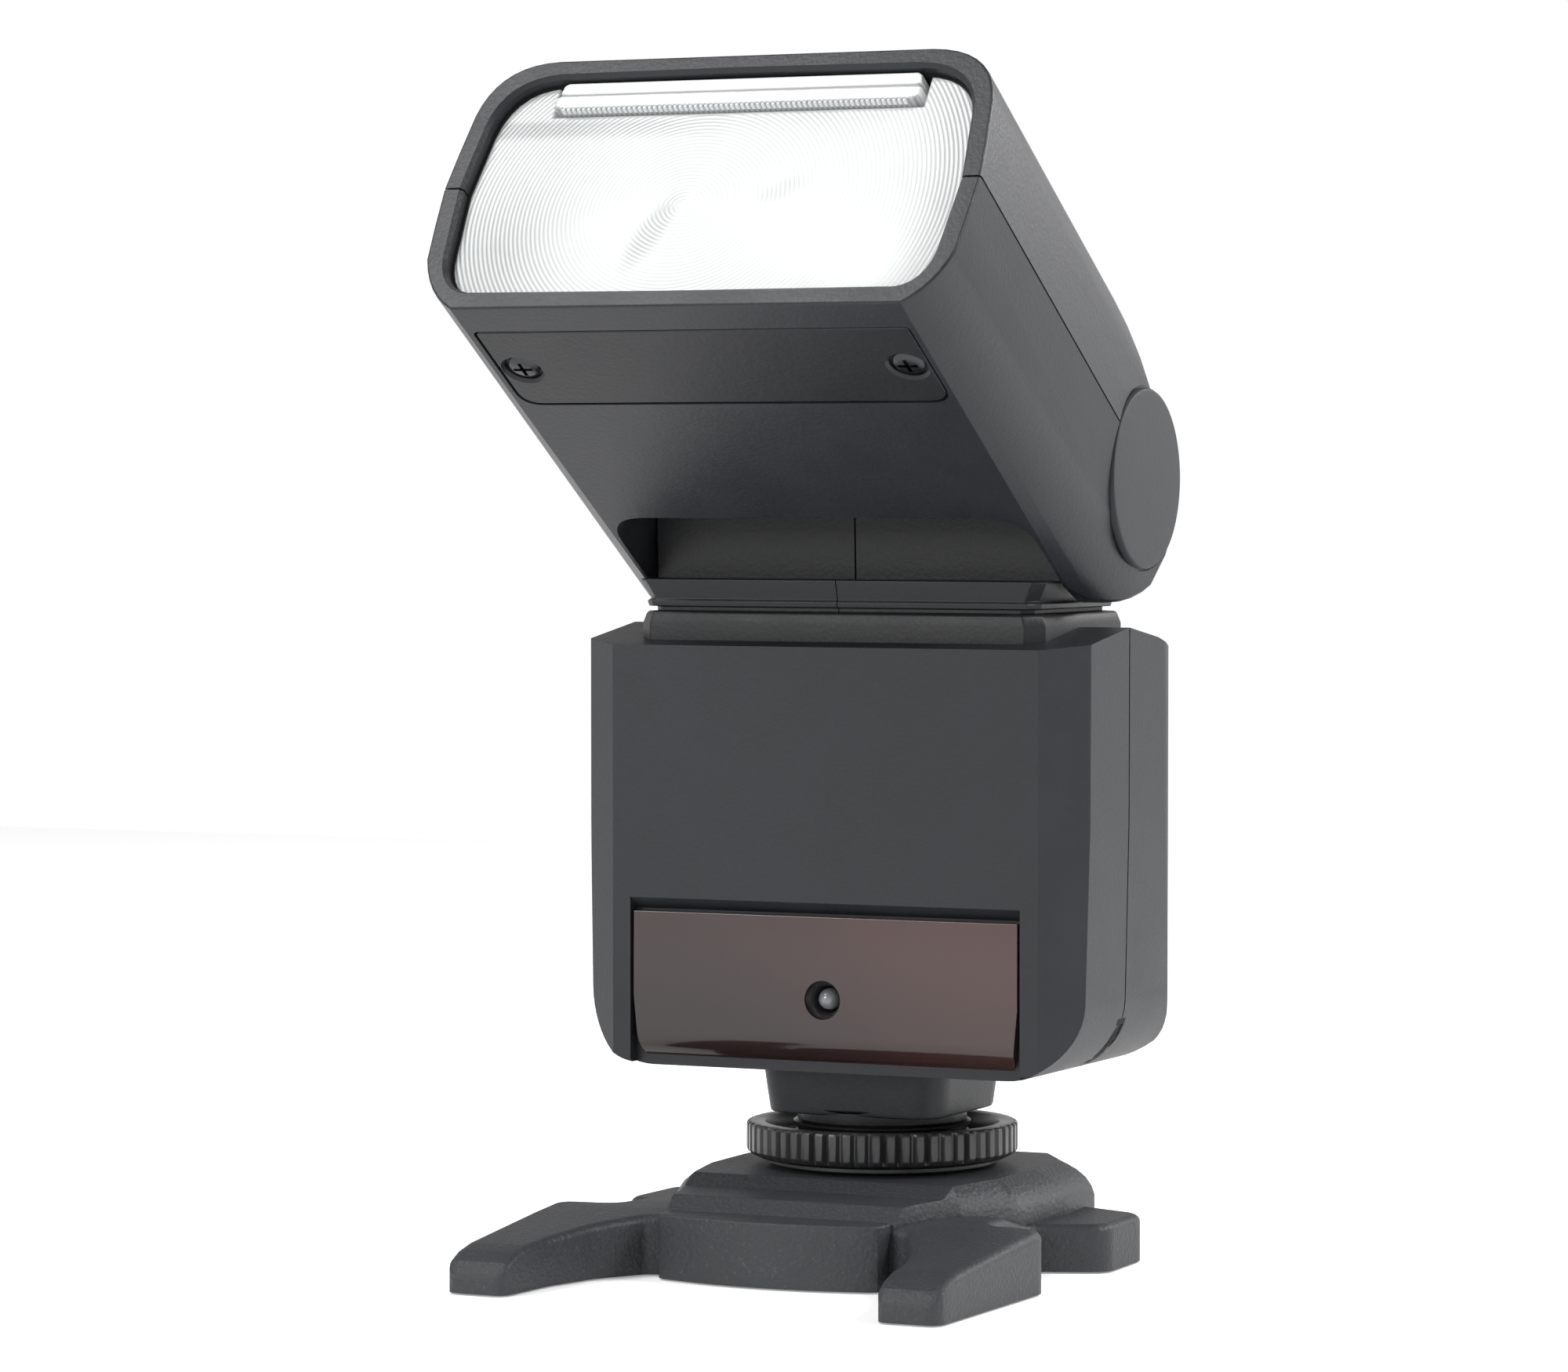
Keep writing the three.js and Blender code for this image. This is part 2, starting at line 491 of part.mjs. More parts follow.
function hingeCover(side) {
  const body = side > 0 ? rodX(HEAD.coverR, 31.5, 32.2, 0, 0, 32) : rodX(HEAD.coverR, -32.2, -31.5, 0, 0,
    32);
  return piece(side > 0 ? 'hinge_cover_left' : 'hinge_cover_right', body, finish(0x2b2c2f, 0.5));
}

function fresnelLens() {
  const l = LENS;
  const section = symmetric([[25.0, -12.5], [27.2, -10.9], [28.6, -8.1], [29.2, 0.75], [28.5, 9.0],
    [27.6, l.top]]);
  return piece('fresnel_lens', prismY(section, -l.front, -l.rear),
    finish(0xf4f6f8, 0.05, 0, { transparent: true, opacity: 0.35 }));
}

function widePanel() {
  const p = PANEL;
  const body = box(-p.x, p.x, -p.front, -p.front + p.length, p.t[0], p.t[1]);
  return piece('wide_panel', body, finish(0xf0f3f5, 0.08, 0, { transparent: true, opacity: 0.4 }));
}

function catchlightCard() {
  const c = CARD;
  return piece('catchlight_card', box(-c.x, c.x, -c.front, -c.front + c.length, c.t[0], c.t[1]),
    finish(0xf2f2f0, 0.4));
}

// A trough with a parabolic section, closed at its ends, that opens towards the lens.
function reflector() {
  const z = ZOOM;
  const front = -z.reflectorFront;
  const depth = z.reflectorDepth;
  const outerHalf = [[front, 10.6], [front + 4.5, 8.6], [front + 8, 5.2], [front + depth, 3]];
  const innerHalf = [[front - 1, 9.9], [front + 4, 7.9], [front + 7.2, 4.6], [front + 8.7, 2.4]];
  const loop = (half) => outline([...half, ...half.slice().reverse().map(([y, t]) => [y, -t])]);
  return piece('reflector', prismX(loop(outerHalf), -21.5, 21.5).subtract(prismX(loop(innerHalf), -20.8,
    20.8)),
    finish(0xd9dcde, 0.12, 1));
}

function flashTube() {
  return piece('flash_tube', rodX(1.5, -19.5, 19.5, -ZOOM.reflectorFront + 5.2, 0, 14),
    finish(0xeef2f4, 0.05, 0, { transparent: true, opacity: 0.6 }));
}

function zoomCarriage() {
  const z = ZOOM;
  const y0 = -z.reflectorFront + z.reflectorDepth + GAP;
  let body = box(-28.2, 28.2, y0, y0 + z.carriage, -8.5, 3);
  body = body.add(box(-16, 16, y0, y0 + z.carriage, -8.5, 8.5));
  for (const side of [-1, 1]) body = body.subtract(rodY(z.rodR + GAP, y0 - 1, y0 + 5, side * z.rodX, 0,
    12));
  body = body.subtract(rodY(z.screwR + GAP, y0 - 1, y0 + 5, z.screwX, z.screwT, 12));
  return piece('zoom_carriage', body, finish(0x1c1c1e, 0.6));
}

function guideRod(side) {
  const z = ZOOM;
  return piece(side > 0 ? 'guide_rod_left' : 'guide_rod_right',
    rodY(z.rodR, -50.5, -HEAD.cavityRear - GAP, side * z.rodX, 0, 12), finish(0xc2c4c6, 0.25, 1));
}

function leadScrew() {
  const z = ZOOM;
  return piece('lead_screw', rodY(z.screwR, -48, -26.2, z.screwX, z.screwT, 12), finish(0xc2c4c6, 0.3, 1));
}

function zoomMotor() {
  const z = ZOOM;
  return piece('zoom_motor', rodY(z.motorR, -25.9, -HEAD.cavityRear - GAP, z.screwX + 1, z.screwT - 0.6,
    16),
    finish(0xb0b2b4, 0.35, 1));
}

function mainCapacitor() {
  return piece('main_capacitor', rodX(5, -17, 17, -22.8, 5.4), finish(0x1b1c22, 0.3));
}

function headBoard() {
  return piece('head_board', box(-18, 18, -27.4, -17.8, -9.4, -8.2), finish(0x1f5a35, 0.5));
}

// ---------------------------------------------------------------- assembly
const head = new THREE.Group();
head.add(headUpperShell(), headLowerShell(), labelPlate(), headScrew(1), headScrew(-1), hingeCover(1),
  hingeCover(-1),
  fresnelLens(), widePanel(), catchlightCard(), reflector(), flashTube(), zoomCarriage(), guideRod(1),
    guideRod(-1),
  leadScrew(), zoomMotor(), mainCapacitor(), headBoard());
head.position.set(0, HINGE.y, HINGE.z);
head.rotation.x = -THREE.MathUtils.degToRad(HEAD.tilt);

const flash = new THREE.Group();
flash.add(miniStand(), threadInsert(), shoeFoot(), ...hotshoeContacts(), lockingPin(), clampWasher(),
  lockRing(),
  threadedCollar(), footBlock(), frontShell(), rearShell(), sensorWindow(), sensorLens(), displayWindow(),
  displayModule(), ...controlButtons(), selectDial(), setButton(), testButton(), powerSwitch(),
    batteryDoor(),
  doorHingePin(), doorContact(), aaCell(0), aaCell(1), batteryTerminal(0), batteryTerminal(1), mainBoard(),
  chargingTransformer(), swivelPlinth(), swivelTube(), neckHalf(1), neckHalf(-1), tiltShaft(), head);
flash.position.y = AXIS_Y;

const speedlight = new THREE.Group();
speedlight.add(flash);
export default speedlight;
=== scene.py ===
"""Looks of a compact speedlight flash on its mini stand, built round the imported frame.

Shapes are worked out in millimetres in two working frames. The case frame has its origin under the
swivel axis. The head frame has its origin on the tilt axis, -Y runs to the lens and +Z is its top.
"""
import json
import math
import random

import bmesh
import bpy
from mathutils import Matrix, Vector


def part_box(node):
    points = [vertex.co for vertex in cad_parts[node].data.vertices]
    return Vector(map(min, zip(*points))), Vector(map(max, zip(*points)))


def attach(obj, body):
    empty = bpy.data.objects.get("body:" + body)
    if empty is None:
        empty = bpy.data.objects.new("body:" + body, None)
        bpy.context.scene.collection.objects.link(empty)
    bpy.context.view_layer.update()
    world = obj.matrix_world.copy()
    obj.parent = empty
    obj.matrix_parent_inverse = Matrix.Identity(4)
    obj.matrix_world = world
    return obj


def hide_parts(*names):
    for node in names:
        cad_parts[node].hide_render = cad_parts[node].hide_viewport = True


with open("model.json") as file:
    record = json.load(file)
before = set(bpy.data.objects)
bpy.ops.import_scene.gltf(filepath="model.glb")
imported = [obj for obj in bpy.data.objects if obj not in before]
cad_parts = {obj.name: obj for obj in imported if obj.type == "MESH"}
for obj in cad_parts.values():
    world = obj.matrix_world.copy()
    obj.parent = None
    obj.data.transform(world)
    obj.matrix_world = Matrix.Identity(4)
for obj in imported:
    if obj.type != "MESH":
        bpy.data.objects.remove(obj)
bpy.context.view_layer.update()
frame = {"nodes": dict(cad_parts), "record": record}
MM = 0.001

JOINTS = {j["name"]: j for j in frame["record"]["behaviour"]["joints"]}
TILT_POINT = Vector(JOINTS["head_tilt"]["pos_m"]) / MM
LENS_WAY = Vector(JOINTS["wide_panel_slide"]["axis"])
TILT = math.atan2(LENS_WAY.z, -LENS_WAY.y)
RING_LOW, RING_HIGH = (Vector(corner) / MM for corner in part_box("lock_ring"))
AXIS_Y = JOINTS["lock_ring_turn"]["pos_m"][1] / MM
CASE = Matrix.Translation((0, AXIS_Y, 0))
HEAD = Matrix.Translation(TILT_POINT) @ Matrix.Rotation(-TILT, 4, "X")


# ------ outlines
def fillet(corners, steps=6):
    """Round each (x, y, radius) corner of a closed outline."""
    points = []
    for i, (x, y, radius) in enumerate(corners):
        here = Vector((x, y))
        before = Vector(corners[i - 1][:2]) - here
        after = Vector(corners[(i + 1) % len(corners)][:2]) - here
        if radius <= 0:
            points.append((x, y))
            continue
        half = before.angle(after) / 2
        reach = min(radius / math.tan(half), before.length * 0.49, after.length * 0.49)
        start, end = (here + way.normalized() * reach for way in (before, after))
        for k in range(steps + 1):
            t = k / steps
            points.append(tuple(start * (1 - t) ** 2 + here * (2 * t * (1 - t)) + end * t * t))
    return points


def rounded(x, z, half_x, half_z, radius, steps=5):
    """A rectangle with round corners, from its middle and half sizes."""
    return fillet([(x - half_x, z - half_z, radius), (x + half_x, z - half_z, radius),
                   (x + half_x, z + half_z, radius), (x - half_x, z + half_z, radius)], steps)


def mirrored(half):
    """A closed outline from its right half, listed from bottom to top."""
    return list(half) + [(-p[0], *p[1:]) for p in reversed(half) if p[0] > 1e-6]


def arc(cx, cy, radius, start, end, steps):
    """Points of an arc, angles in degrees."""
    angles = [math.radians(start + (end - start) * i / steps) for i in range(steps + 1)]
    return [(cx + radius * math.cos(a), cy + radius * math.sin(a)) for a in angles]


def bend(start, control, end, steps):
    """Points after start on a quadratic curve to end."""
    points = []
    for k in range(1, steps + 1):
        t = k / steps
        points.append(tuple(a * (1 - t) ** 2 + c * 2 * t * (1 - t) + b * t * t
                            for a, c, b in zip(start, control, end)))
    return points


def grown(outline, by):
    """The closed outline moved outwards by a distance, corner by corner."""
    points = [Vector(p) for p in outline]
    area = sum(a.x * b.y - b.x * a.y for a, b in zip(points, points[1:] + points[:1]))
    side = 1 if area > 0 else -1
    moved = []
    for i, here in enumerate(points):
        before = (here - points[i - 1]).normalized()
        after = (points[(i + 1) % len(points)] - here).normalized()
        normal = Vector((before.y + after.y, -before.x - after.x))
        normal = normal.normalized() * (side * by / max(0.5, math.cos(before.angle(after, 0) / 2)))
        moved.append(tuple(here + normal))
    return moved


# ------ solids
PLACES = {"x": lambda u, v, w: (w, u, v), "y": lambda u, v, w: (u, w, v), "z": lambda u, v, w: (u, v, w)}


def loft(rings):
    """A solid through rings of points; every ring has as many points as the others."""
    bm = bmesh.new()
    rows = [[bm.verts.new(p) for p in ring] for ring in rings]
    for low, high in zip(rows, rows[1:]):
        for i in range(len(low)):
            j = (i + 1) % len(low)
            bm.faces.new((low[i], low[j], high[j], high[i]))
    bm.faces.new(rows[0])
    bm.faces.new(list(reversed(rows[-1])))
    bmesh.ops.recalc_face_normals(bm, faces=bm.faces)
    return bm


def stacked(outline, levels):
    """An upright solid whose outline is scaled at each (scale, height) level."""
    return loft([[(x * s, y * s, z) for x, y in outline] for s, z in levels])


def prism(outline, low, high, axis):
    """A solid with a flat outline, running along an axis from low to high."""
    place = PLACES[axis]
    return loft([[place(u, v, w) for u, v in outline] for w in (low, high)])


def cushion_edge(outline, low, high, axis, radius, steps=4, both=False):
    """A prism whose far edge, or both of its edges, are rounded."""
    place = PLACES[axis]
    sign = 1 if high > low else -1
    quarter = [math.pi / 2 * k / steps for k in range(steps + 1)]
    edge = [(grown(outline, radius * (math.cos(a) - 1)), sign * radius * (1 - math.sin(a))) for a in quarter]
    starts = [(ring, low + drop) for ring, drop in reversed(edge)] if both else [(outline, low)]
    ends = [(ring, high - drop) for ring, drop in edge]
    return loft([[place(u, v, w) for u, v in ring] for ring, w in starts + ends])


def turned(profile, steps, axis="z", centre=(0, 0), wave=None):
    """A body turned from a closed (radius, height) profile; wave(angle) cuts into points with a depth."""
    bm = bmesh.new()
    place = PLACES[axis]
    columns = []
    for k in range(steps):
        a = 2 * math.pi * k / steps
        cut = wave(a) if wave else 0
        column = []
        for radius, height, *depth in profile:
            r = radius - (depth[0] * cut if depth else 0)
            u, v = centre[0] + r * math.cos(a), centre[1] + r * math.sin(a)
            column.append(bm.verts.new(place(u, v, height)))
        columns.append(column)
    for i, column in enumerate(columns):
        after = columns[(i + 1) % steps]
        for j in range(len(profile)):
            n = (j + 1) % len(profile)
            bm.faces.new((column[j], after[j], after[n], column[n]))
    bmesh.ops.remove_doubles(bm, verts=bm.verts, dist=1e-5)
    bmesh.ops.dissolve_degenerate(bm, edges=bm.edges, dist=1e-5)
    bmesh.ops.recalc_face_normals(bm, faces=bm.faces)
    return bm


def rod(radius, low, high, axis, centre=(0, 0), steps=48, chamfer=0.0):
    """A round bar with chamfered ends."""
    inner = radius - chamfer
    ends = [(0.0, low), (inner, low), (radius, low + chamfer), (radius, high - chamfer), (inner, high),
            (0.0, high)]
    profile = [p for i, p in enumerate(ends) if i == 0 or p != ends[i - 1]]
    return turned(profile, steps, axis, centre)


def block(x0, x1, y0, y1, z0, z1):
    """A plain box, used to cut with or to bevel."""
    return prism([(x0, y0), (x1, y0), (x1, y1), (x0, y1)], z0, z1, "z")


def temporary(bm):
    """A scene object that stands in for a solid while a boolean runs."""
    mesh = bpy.data.meshes.new("work")
    bm.to_mesh(mesh)
    obj = bpy.data.objects.new("work", mesh)
    bpy.context.collection.objects.link(obj)
    return obj


def shaped(bm, others, operation):
    """bm after a boolean with each of the other solids, which are used up."""
    base = temporary(bm)
    tools = []
    for other in others:
        tool = temporary(other)
        other.free()
        modifier = base.modifiers.new("cut", "BOOLEAN")
        modifier.operation = operation
        modifier.object = tool
        modifier.solver = "EXACT"
        tools.append(tool)
    done = base.evaluated_get(bpy.context.evaluated_depsgraph_get()).to_mesh()
    bm.clear()
    bm.from_mesh(done)
    for obj in [base, *tools]:
        mesh = obj.data
        bpy.data.objects.remove(obj)
        bpy.data.meshes.remove(mesh)
    bmesh.ops.remove_doubles(bm, verts=bm.verts, dist=1e-4)
    bmesh.ops.dissolve_degenerate(bm, edges=bm.edges, dist=1e-4)
    return bm


def cut(bm, *others):
    return shaped(bm, others, "DIFFERENCE")


def common(bm, *others):
    return shaped(bm, others, "INTERSECT")


def joined(bm, *others):
    return shaped(bm, others, "UNION")


def eased(bm, width, segments=2, angle=28, where=None):
    """Round the edges that are sharper than angle degrees, or those that where picks among them."""
    limit = math.radians(angle)
    edges = [e for e in bm.edges if len(e.link_faces) == 2 and e.calc_face_angle(0) > limit]
    if where:
        edges = [e for e in edges if where((e.verts[0].co + e.verts[1].co) / 2)]
    bmesh.ops.bevel(bm, geom=edges, offset=width, segments=segments, profile=0.5, affect="EDGES",
                    clamp_overlap=True)
    return bm


def flipped(bm):
    """The mirror image across the symmetry plane."""
    bmesh.ops.scale(bm, vec=(-1, 1, 1), verts=bm.verts)
    bmesh.ops.reverse_faces(bm, faces=bm.faces)
    return bm


def merged(*parts):
    """Several solids as one mesh, without a boolean."""
    whole = bmesh.new()
    for part in parts:
        mesh = bpy.data.meshes.new("part")
        part.to_mesh(mesh)
        part.free()
        whole.from_mesh(mesh)
        bpy.data.meshes.remove(mesh)
    return whole


def add_piece(name, bm, finish, body, place=CASE, stands_for=(), smooth=30):
    """Turn a solid into a named piece that rides on a body and takes its finish from a slot."""
    bmesh.ops.transform(bm, matrix=Matrix.Scale(MM, 4) @ place, verts=bm.verts)
    mesh = bpy.data.meshes.new(name)
    bm.to_mesh(mesh)
    bm.free()
    mesh.shade_smooth()
    mesh.set_sharp_from_angle(angle=math.radians(smooth))
    mesh.materials.append(FINISH[finish])
    obj = bpy.data.objects.new(name, mesh)
    bpy.context.collection.objects.link(obj)
    even = obj.modifiers.new("even_normals", "WEIGHTED_NORMAL")
    even.keep_sharp = True
    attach(obj, body)
    if stands_for:
        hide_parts(*stands_for)


# ------ shader maths
class Field:
    """A shader value that takes part in arithmetic: each operator adds one Math node."""

    def __init__(self, paint, socket):
        self.paint, self.socket = paint, socket

    def math(self, operation, *others):
        return self.paint.node("ShaderNodeMath", {"operation": operation}, [self, *others])

    def __add__(self, other):
        return self.math("ADD", other)

    def __sub__(self, other):
        return self.math("SUBTRACT", other)

    def __mul__(self, other):
        return self.math("MULTIPLY", other)

    def __truediv__(self, other):
        return self.math("DIVIDE", other)

    def __pow__(self, other):
        return self.math("POWER", other)

    def __rsub__(self, other):
        return self.paint.node("ShaderNodeMath", {"operation": "SUBTRACT"}, [other, self])

    __radd__ = __add__

    def band(self, low, high):
        """0 below low, 1 above high, with a smooth rise between."""
        return self.paint.node("ShaderNodeMapRange", {"interpolation_type": "SMOOTHSTEP"},
                               {"Value": self, "From Min": low, "From Max": high})

    def zigzag(self, step):
        """Rises from 0 to 1 over a step and falls back over the next."""
        return self.math("PINGPONG", step) / step


class Paint:
    """One procedural material and the nodes behind it."""

    def __init__(self, name, **constants):
        self.material = bpy.data.materials.new(name)
        self.material.use_nodes = True
        self.tree = self.material.node_tree
        self.shader = self.tree.nodes["Principled BSDF"]
        self.place = self.tree.nodes.new("ShaderNodeTexCoord").outputs["Object"]
        for socket, value in constants.items():
            self.set(socket.replace("_", " "), value)

    def node(self, kind, settings, inputs, output=0):
        """Add a node: settings first, then the values or links of its sockets."""
        made = self.tree.nodes.new(kind)
        for key, value in settings.items():
            setattr(made, key, value)
        pairs = inputs.items() if isinstance(inputs, dict) else enumerate(inputs)
        for key, value in pairs:
            self.feed(made.inputs[key], value)
        return Field(self, made.outputs[output])

    def feed(self, socket, value):
        if isinstance(value, Field):
            self.tree.links.new(value.socket, socket)
        elif isinstance(value, bpy.types.NodeSocket):
            self.tree.links.new(value, socket)
        else:
            socket.default_value = value

    def set(self, socket, value):
        if isinstance(value, tuple) and len(value) == 3 and "Color" in socket:
            value = (*value, 1)
        self.feed(self.shader.inputs[socket], value)

    def noise(self, scale, detail=3.0, roughness=0.5, seed=0.0):
        """Soft noise from 0 to 1; a seed moves it to another part of the pattern."""
        place = self.place
        if seed:
            shift = (seed, seed * 1.7, seed * 0.6)
            place = self.node("ShaderNodeVectorMath", {"operation": "ADD"}, [place, shift])
        return self.node("ShaderNodeTexNoise", {},
                         {"Vector": place, "Scale": scale, "Detail": detail, "Roughness": roughness})

    def cells(self, scale, feature="F1"):
        """Cell pattern: distance to the nearest point, or to the nearest cell edge."""
        return self.node("ShaderNodeTexVoronoi", {"feature": feature}, {"Vector": self.place, "Scale": scale})

    def mix(self, amount, low, high):
        """Blend two colours, or two colour links, by an amount."""
        wrap = [(*c, 1) if isinstance(c, tuple) and len(c) == 3 else c for c in (low, high)]
        made = self.tree.nodes.new("ShaderNodeMix")
        made.data_type = "RGBA"
        for socket, value in zip((made.inputs[0], made.inputs[6], made.inputs[7]), (amount, *wrap)):
            self.feed(socket, value)
        return Field(self, made.outputs[2])

    def along(self, way, origin=(0, 0, 0)):
        """Distance in metres from an origin along a direction, in the rest pose."""
        moved = self.node("ShaderNodeVectorMath", {"operation": "SUBTRACT"}, [self.place, tuple(origin)])
        made = self.tree.nodes.new("ShaderNodeVectorMath")
        made.operation = "DOT_PRODUCT"
        self.feed(made.inputs[0], moved)
        made.inputs[1].default_value = tuple(way)
        return Field(self, made.outputs["Value"])

    def length(self, across, along):
        """Distance from the middle of a patch, from its two measures."""
        point = self.node("ShaderNodeCombineXYZ", {}, [across, along, 0.0])
        return self.node("ShaderNodeVectorMath", {"operation": "LENGTH"}, [point], "Value")

    def head_measures(self):
        """Distances from the tilt axis across the head and up its front."""
        up = (0, math.sin(TILT), math.cos(TILT))
        return self.along((1, 0, 0), TILT_POINT * MM), self.along(up, TILT_POINT * MM)

    def bump(self, height, depth, strength=1.0):
        """Surface relief: height is a field from 0 to 1, depth is in metres."""
        self.set("Normal", self.node("ShaderNodeBump", {}, {"Height": height, "Distance": depth,
                                                           "Strength": strength}))


def tint(colour, factor):
    return tuple(min(1.0, c * factor) for c in colour)


def moulded(name, colour, roughness, grain=3200.0, relief=0.00003, contrast=0.10, gloss=0.28):
    """Spark-eroded moulded plastic: fine grain, faint mottling and uneven sheen."""
    paint = Paint(name, Specular_IOR_Level=gloss)
    mottle = paint.noise(140.0, 4.0)
    fine = paint.noise(grain, 4.0, 0.6)
    pits = paint.cells(grain * 0.55)
    shade = (mottle * 0.6 + fine * 0.4).band(0.3, 0.7)
    paint.set("Base Color", paint.mix(shade, tint(colour, 1 - contrast), tint(colour, 1 + contrast)))
    paint.set("Roughness", roughness + (mottle - 0.5) * 0.12 + (fine - 0.5) * 0.14)
    paint.bump(fine * 0.6 + pits * 0.4, relief)
    return paint.material


def stand_finish():
    """Coarser grained moulding with pale specks where the grain catches light."""
    colour = (0.029, 0.0305, 0.034)
    paint = Paint("grained_stand_plastic", Specular_IOR_Level=0.34)
    mottle = paint.noise(90.0, 4.0)
    grain = paint.cells(1900.0)
    fine = paint.noise(4200.0, 3.0)
    specks = paint.noise(2600.0, 2.0, 0.6, seed=0.37).band(0.60, 0.74)
    base = paint.mix(mottle, tint(colour, 0.82), tint(colour, 1.22))
    paint.set("Base Color", paint.mix(specks * 0.45, base, (0.085, 0.088, 0.095)))
    paint.set("Roughness", 0.47 + (fine - 0.5) * 0.3 + mottle * 0.08)
    paint.bump(grain * 0.7 + fine * 0.5, 0.00009)
    return paint.material


def brushed(name, colour, roughness, metallic=1.0):
    """Turned or drawn metal with fine lines."""
    paint = Paint(name, Metallic=metallic)
    lines = paint.noise(5200.0, 2.0)
    cloud = paint.noise(160.0, 3.0)
    paint.set("Base Color", paint.mix(cloud, tint(colour, 0.85), tint(colour, 1.1)))
    paint.set("Roughness", roughness + (lines - 0.5) * 0.16 + (cloud - 0.5) * 0.1)
    paint.bump(lines, 0.000012)
    return paint.material


def glossy(name, colour, roughness=0.16, coat=0.0, contrast=0.08):
    """Polished moulding with faint flow marks."""
    paint = Paint(name, Coat_Weight=coat, Coat_Roughness=0.05)
    cloud = paint.noise(60.0, 3.0)
    dust = paint.noise(3000.0, 2.0)
    paint.set("Base Color", paint.mix(cloud, tint(colour, 1 - contrast), tint(colour, 1 + contrast)))
    paint.set("Roughness", roughness + (cloud - 0.5) * 0.06 + dust.band(0.6, 0.8) * 0.08)
    paint.bump(cloud, 0.00002)
    return paint.material


WINDOW_LOW, WINDOW_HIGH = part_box("sensor_window")
GROOVE_STEP, DOT_STEP = 0.00026, 0.00035
BEAD_STEP = 0.62


def window_finish():
    """Wine-tinted infrared window with painted light and shade: darker below and at the left, with a painted
    red-brown glow of light to the upper right.
    """
    paint = Paint("infrared_window_plastic", Coat_Weight=0.25, Coat_Roughness=0.03, Specular_IOR_Level=0.45)
    across = (paint.along((1, 0, 0), WINDOW_LOW) / (WINDOW_HIGH[0] - WINDOW_LOW[0])).band(0.0, 1.05)
    up = (paint.along((0, 0, 1), WINDOW_LOW) / (WINDOW_HIGH[2] - WINDOW_LOW[2])).band(-0.1, 1.1)
    cloud = paint.noise(34.0, 2.0)
    # painted light and shade: the colour lightens towards the upper right and darkens below and at the left
    glow = (across * 0.55 + up * 0.45 + (cloud - 0.5) * 0.25).band(0.15, 1.0)
    paint.set("Base Color", paint.mix(glow, (0.017, 0.0085, 0.008), (0.054, 0.0245, 0.0215)))
    paint.set("Roughness", 0.09 + cloud * 0.06)
    paint.bump(cloud, 0.00004)
    return paint.material


def lens_finish():
    """Clear Fresnel plate painted white and given a painted glow for the light of the bright reflector behind
    it, with fine grooves round its middle, painted shade on them and a painted shadow under the panel strip.
    """
    # painted glow: the plate emits its own colour, though it is no lamp
    paint = Paint("fresnel_lens_plastic", Specular_IOR_Level=0.4, Emission_Strength=0.22)
    side, rise = paint.head_measures()
    reach = ((side + 0.003) ** 2.0 + ((rise + 0.001) * 1.12) ** 2.0) ** 0.5
    groove = reach.zigzag(GROOVE_STEP)
    left = (0.0 - side).band(0.009, 0.024)
    right = side.band(0.021, 0.030)
    low = (0.0 - rise).band(-0.006, 0.010)
    # painted shade: the grooves show dark only towards the left (most at the bottom), at the right and at the
    # outer edge
    ringed = left * (0.45 + low * 0.55) + right * 0.35 + reach.band(0.026, 0.032) * 0.35
    # darker streaks in the painted reflection, and a painted shadow under the panel strip at the left
    dark_streak_reach = paint.length(side * 0.93 - rise * 0.366 + 0.0040, (side * 0.366 + rise * 0.93 + 0.0062) * 0.34)
    faint = paint.length(rise * 0.835 - side * 0.55 + 0.0039, (side * 0.835 + rise * 0.55 - 0.0073) * 0.4)
    cloud = paint.noise(120.0, 3.0)
    under_strip = rise.band(0.0078, 0.0092) * (1.0 - rise.band(0.0102, 0.0112))
    shadow = under_strip * (1.0 - side.band(-0.012, 0.004)) * 0.3
    darker_patches = (1.0 - dark_streak_reach.band(0.0008, 0.0023)) * 0.34 + (1.0 - faint.band(0.0004, 0.0018)) * 0.16 + shadow
    # tone is painted shade over the painted white: 0 leaves it light, 1 darkens it
    tone = ringed * (0.25 + groove.band(0.2, 0.8) * 0.50) + darker_patches + cloud.band(0.5, 0.85) * 0.10
    colour = paint.mix(tone, (0.52, 0.54, 0.535), (0.07, 0.08, 0.082))
    paint.set("Base Color", colour)
    paint.set("Emission Color", colour)
    paint.set("Roughness", 0.14 + cloud * 0.08)
    paint.bump(groove, 0.00005, 0.5)
    return paint.material


def clear_finish(name, colour, alpha, glow=0.25, beads=0.0):
    """Clear plastic over a lit reflector, with a painted glow: it emits its own colour at the strength glow.
    beads is how dark the painted shade is along the beaded row at its lower edge and along a fold line above
    it.
    """
    paint = Paint(name, Emission_Strength=glow)
    cloud = paint.noise(220.0, 3.0)
    streak = paint.noise(900.0, 2.0, seed=0.2)
    side, rise = paint.head_measures()
    saw = side.zigzag(BEAD_STEP * MM / 2)
    # painted shade along the beaded row, zigzagged with the beads, and along the fold line above it
    row = rise.band(0.0112, 0.0117) * (1.0 - (rise + saw * 0.00035).band(0.0121, 0.0125))
    fold = rise.band(0.0131, 0.0133) * (1.0 - rise.band(0.0136, 0.0138))
    mark = (row * (0.55 + saw * 0.45) + fold * 0.6) * beads
    shade = paint.mix(mark, paint.mix(cloud, tint(colour, 0.9), colour), tint(colour, 0.30))
    paint.set("Base Color", shade)
    paint.set("Emission Color", shade)
    paint.set("Roughness", 0.06 + streak * 0.10)
    paint.set("Alpha", alpha + (cloud - 0.5) * 0.12)
    paint.bump(streak, 0.00002)
    return paint.material


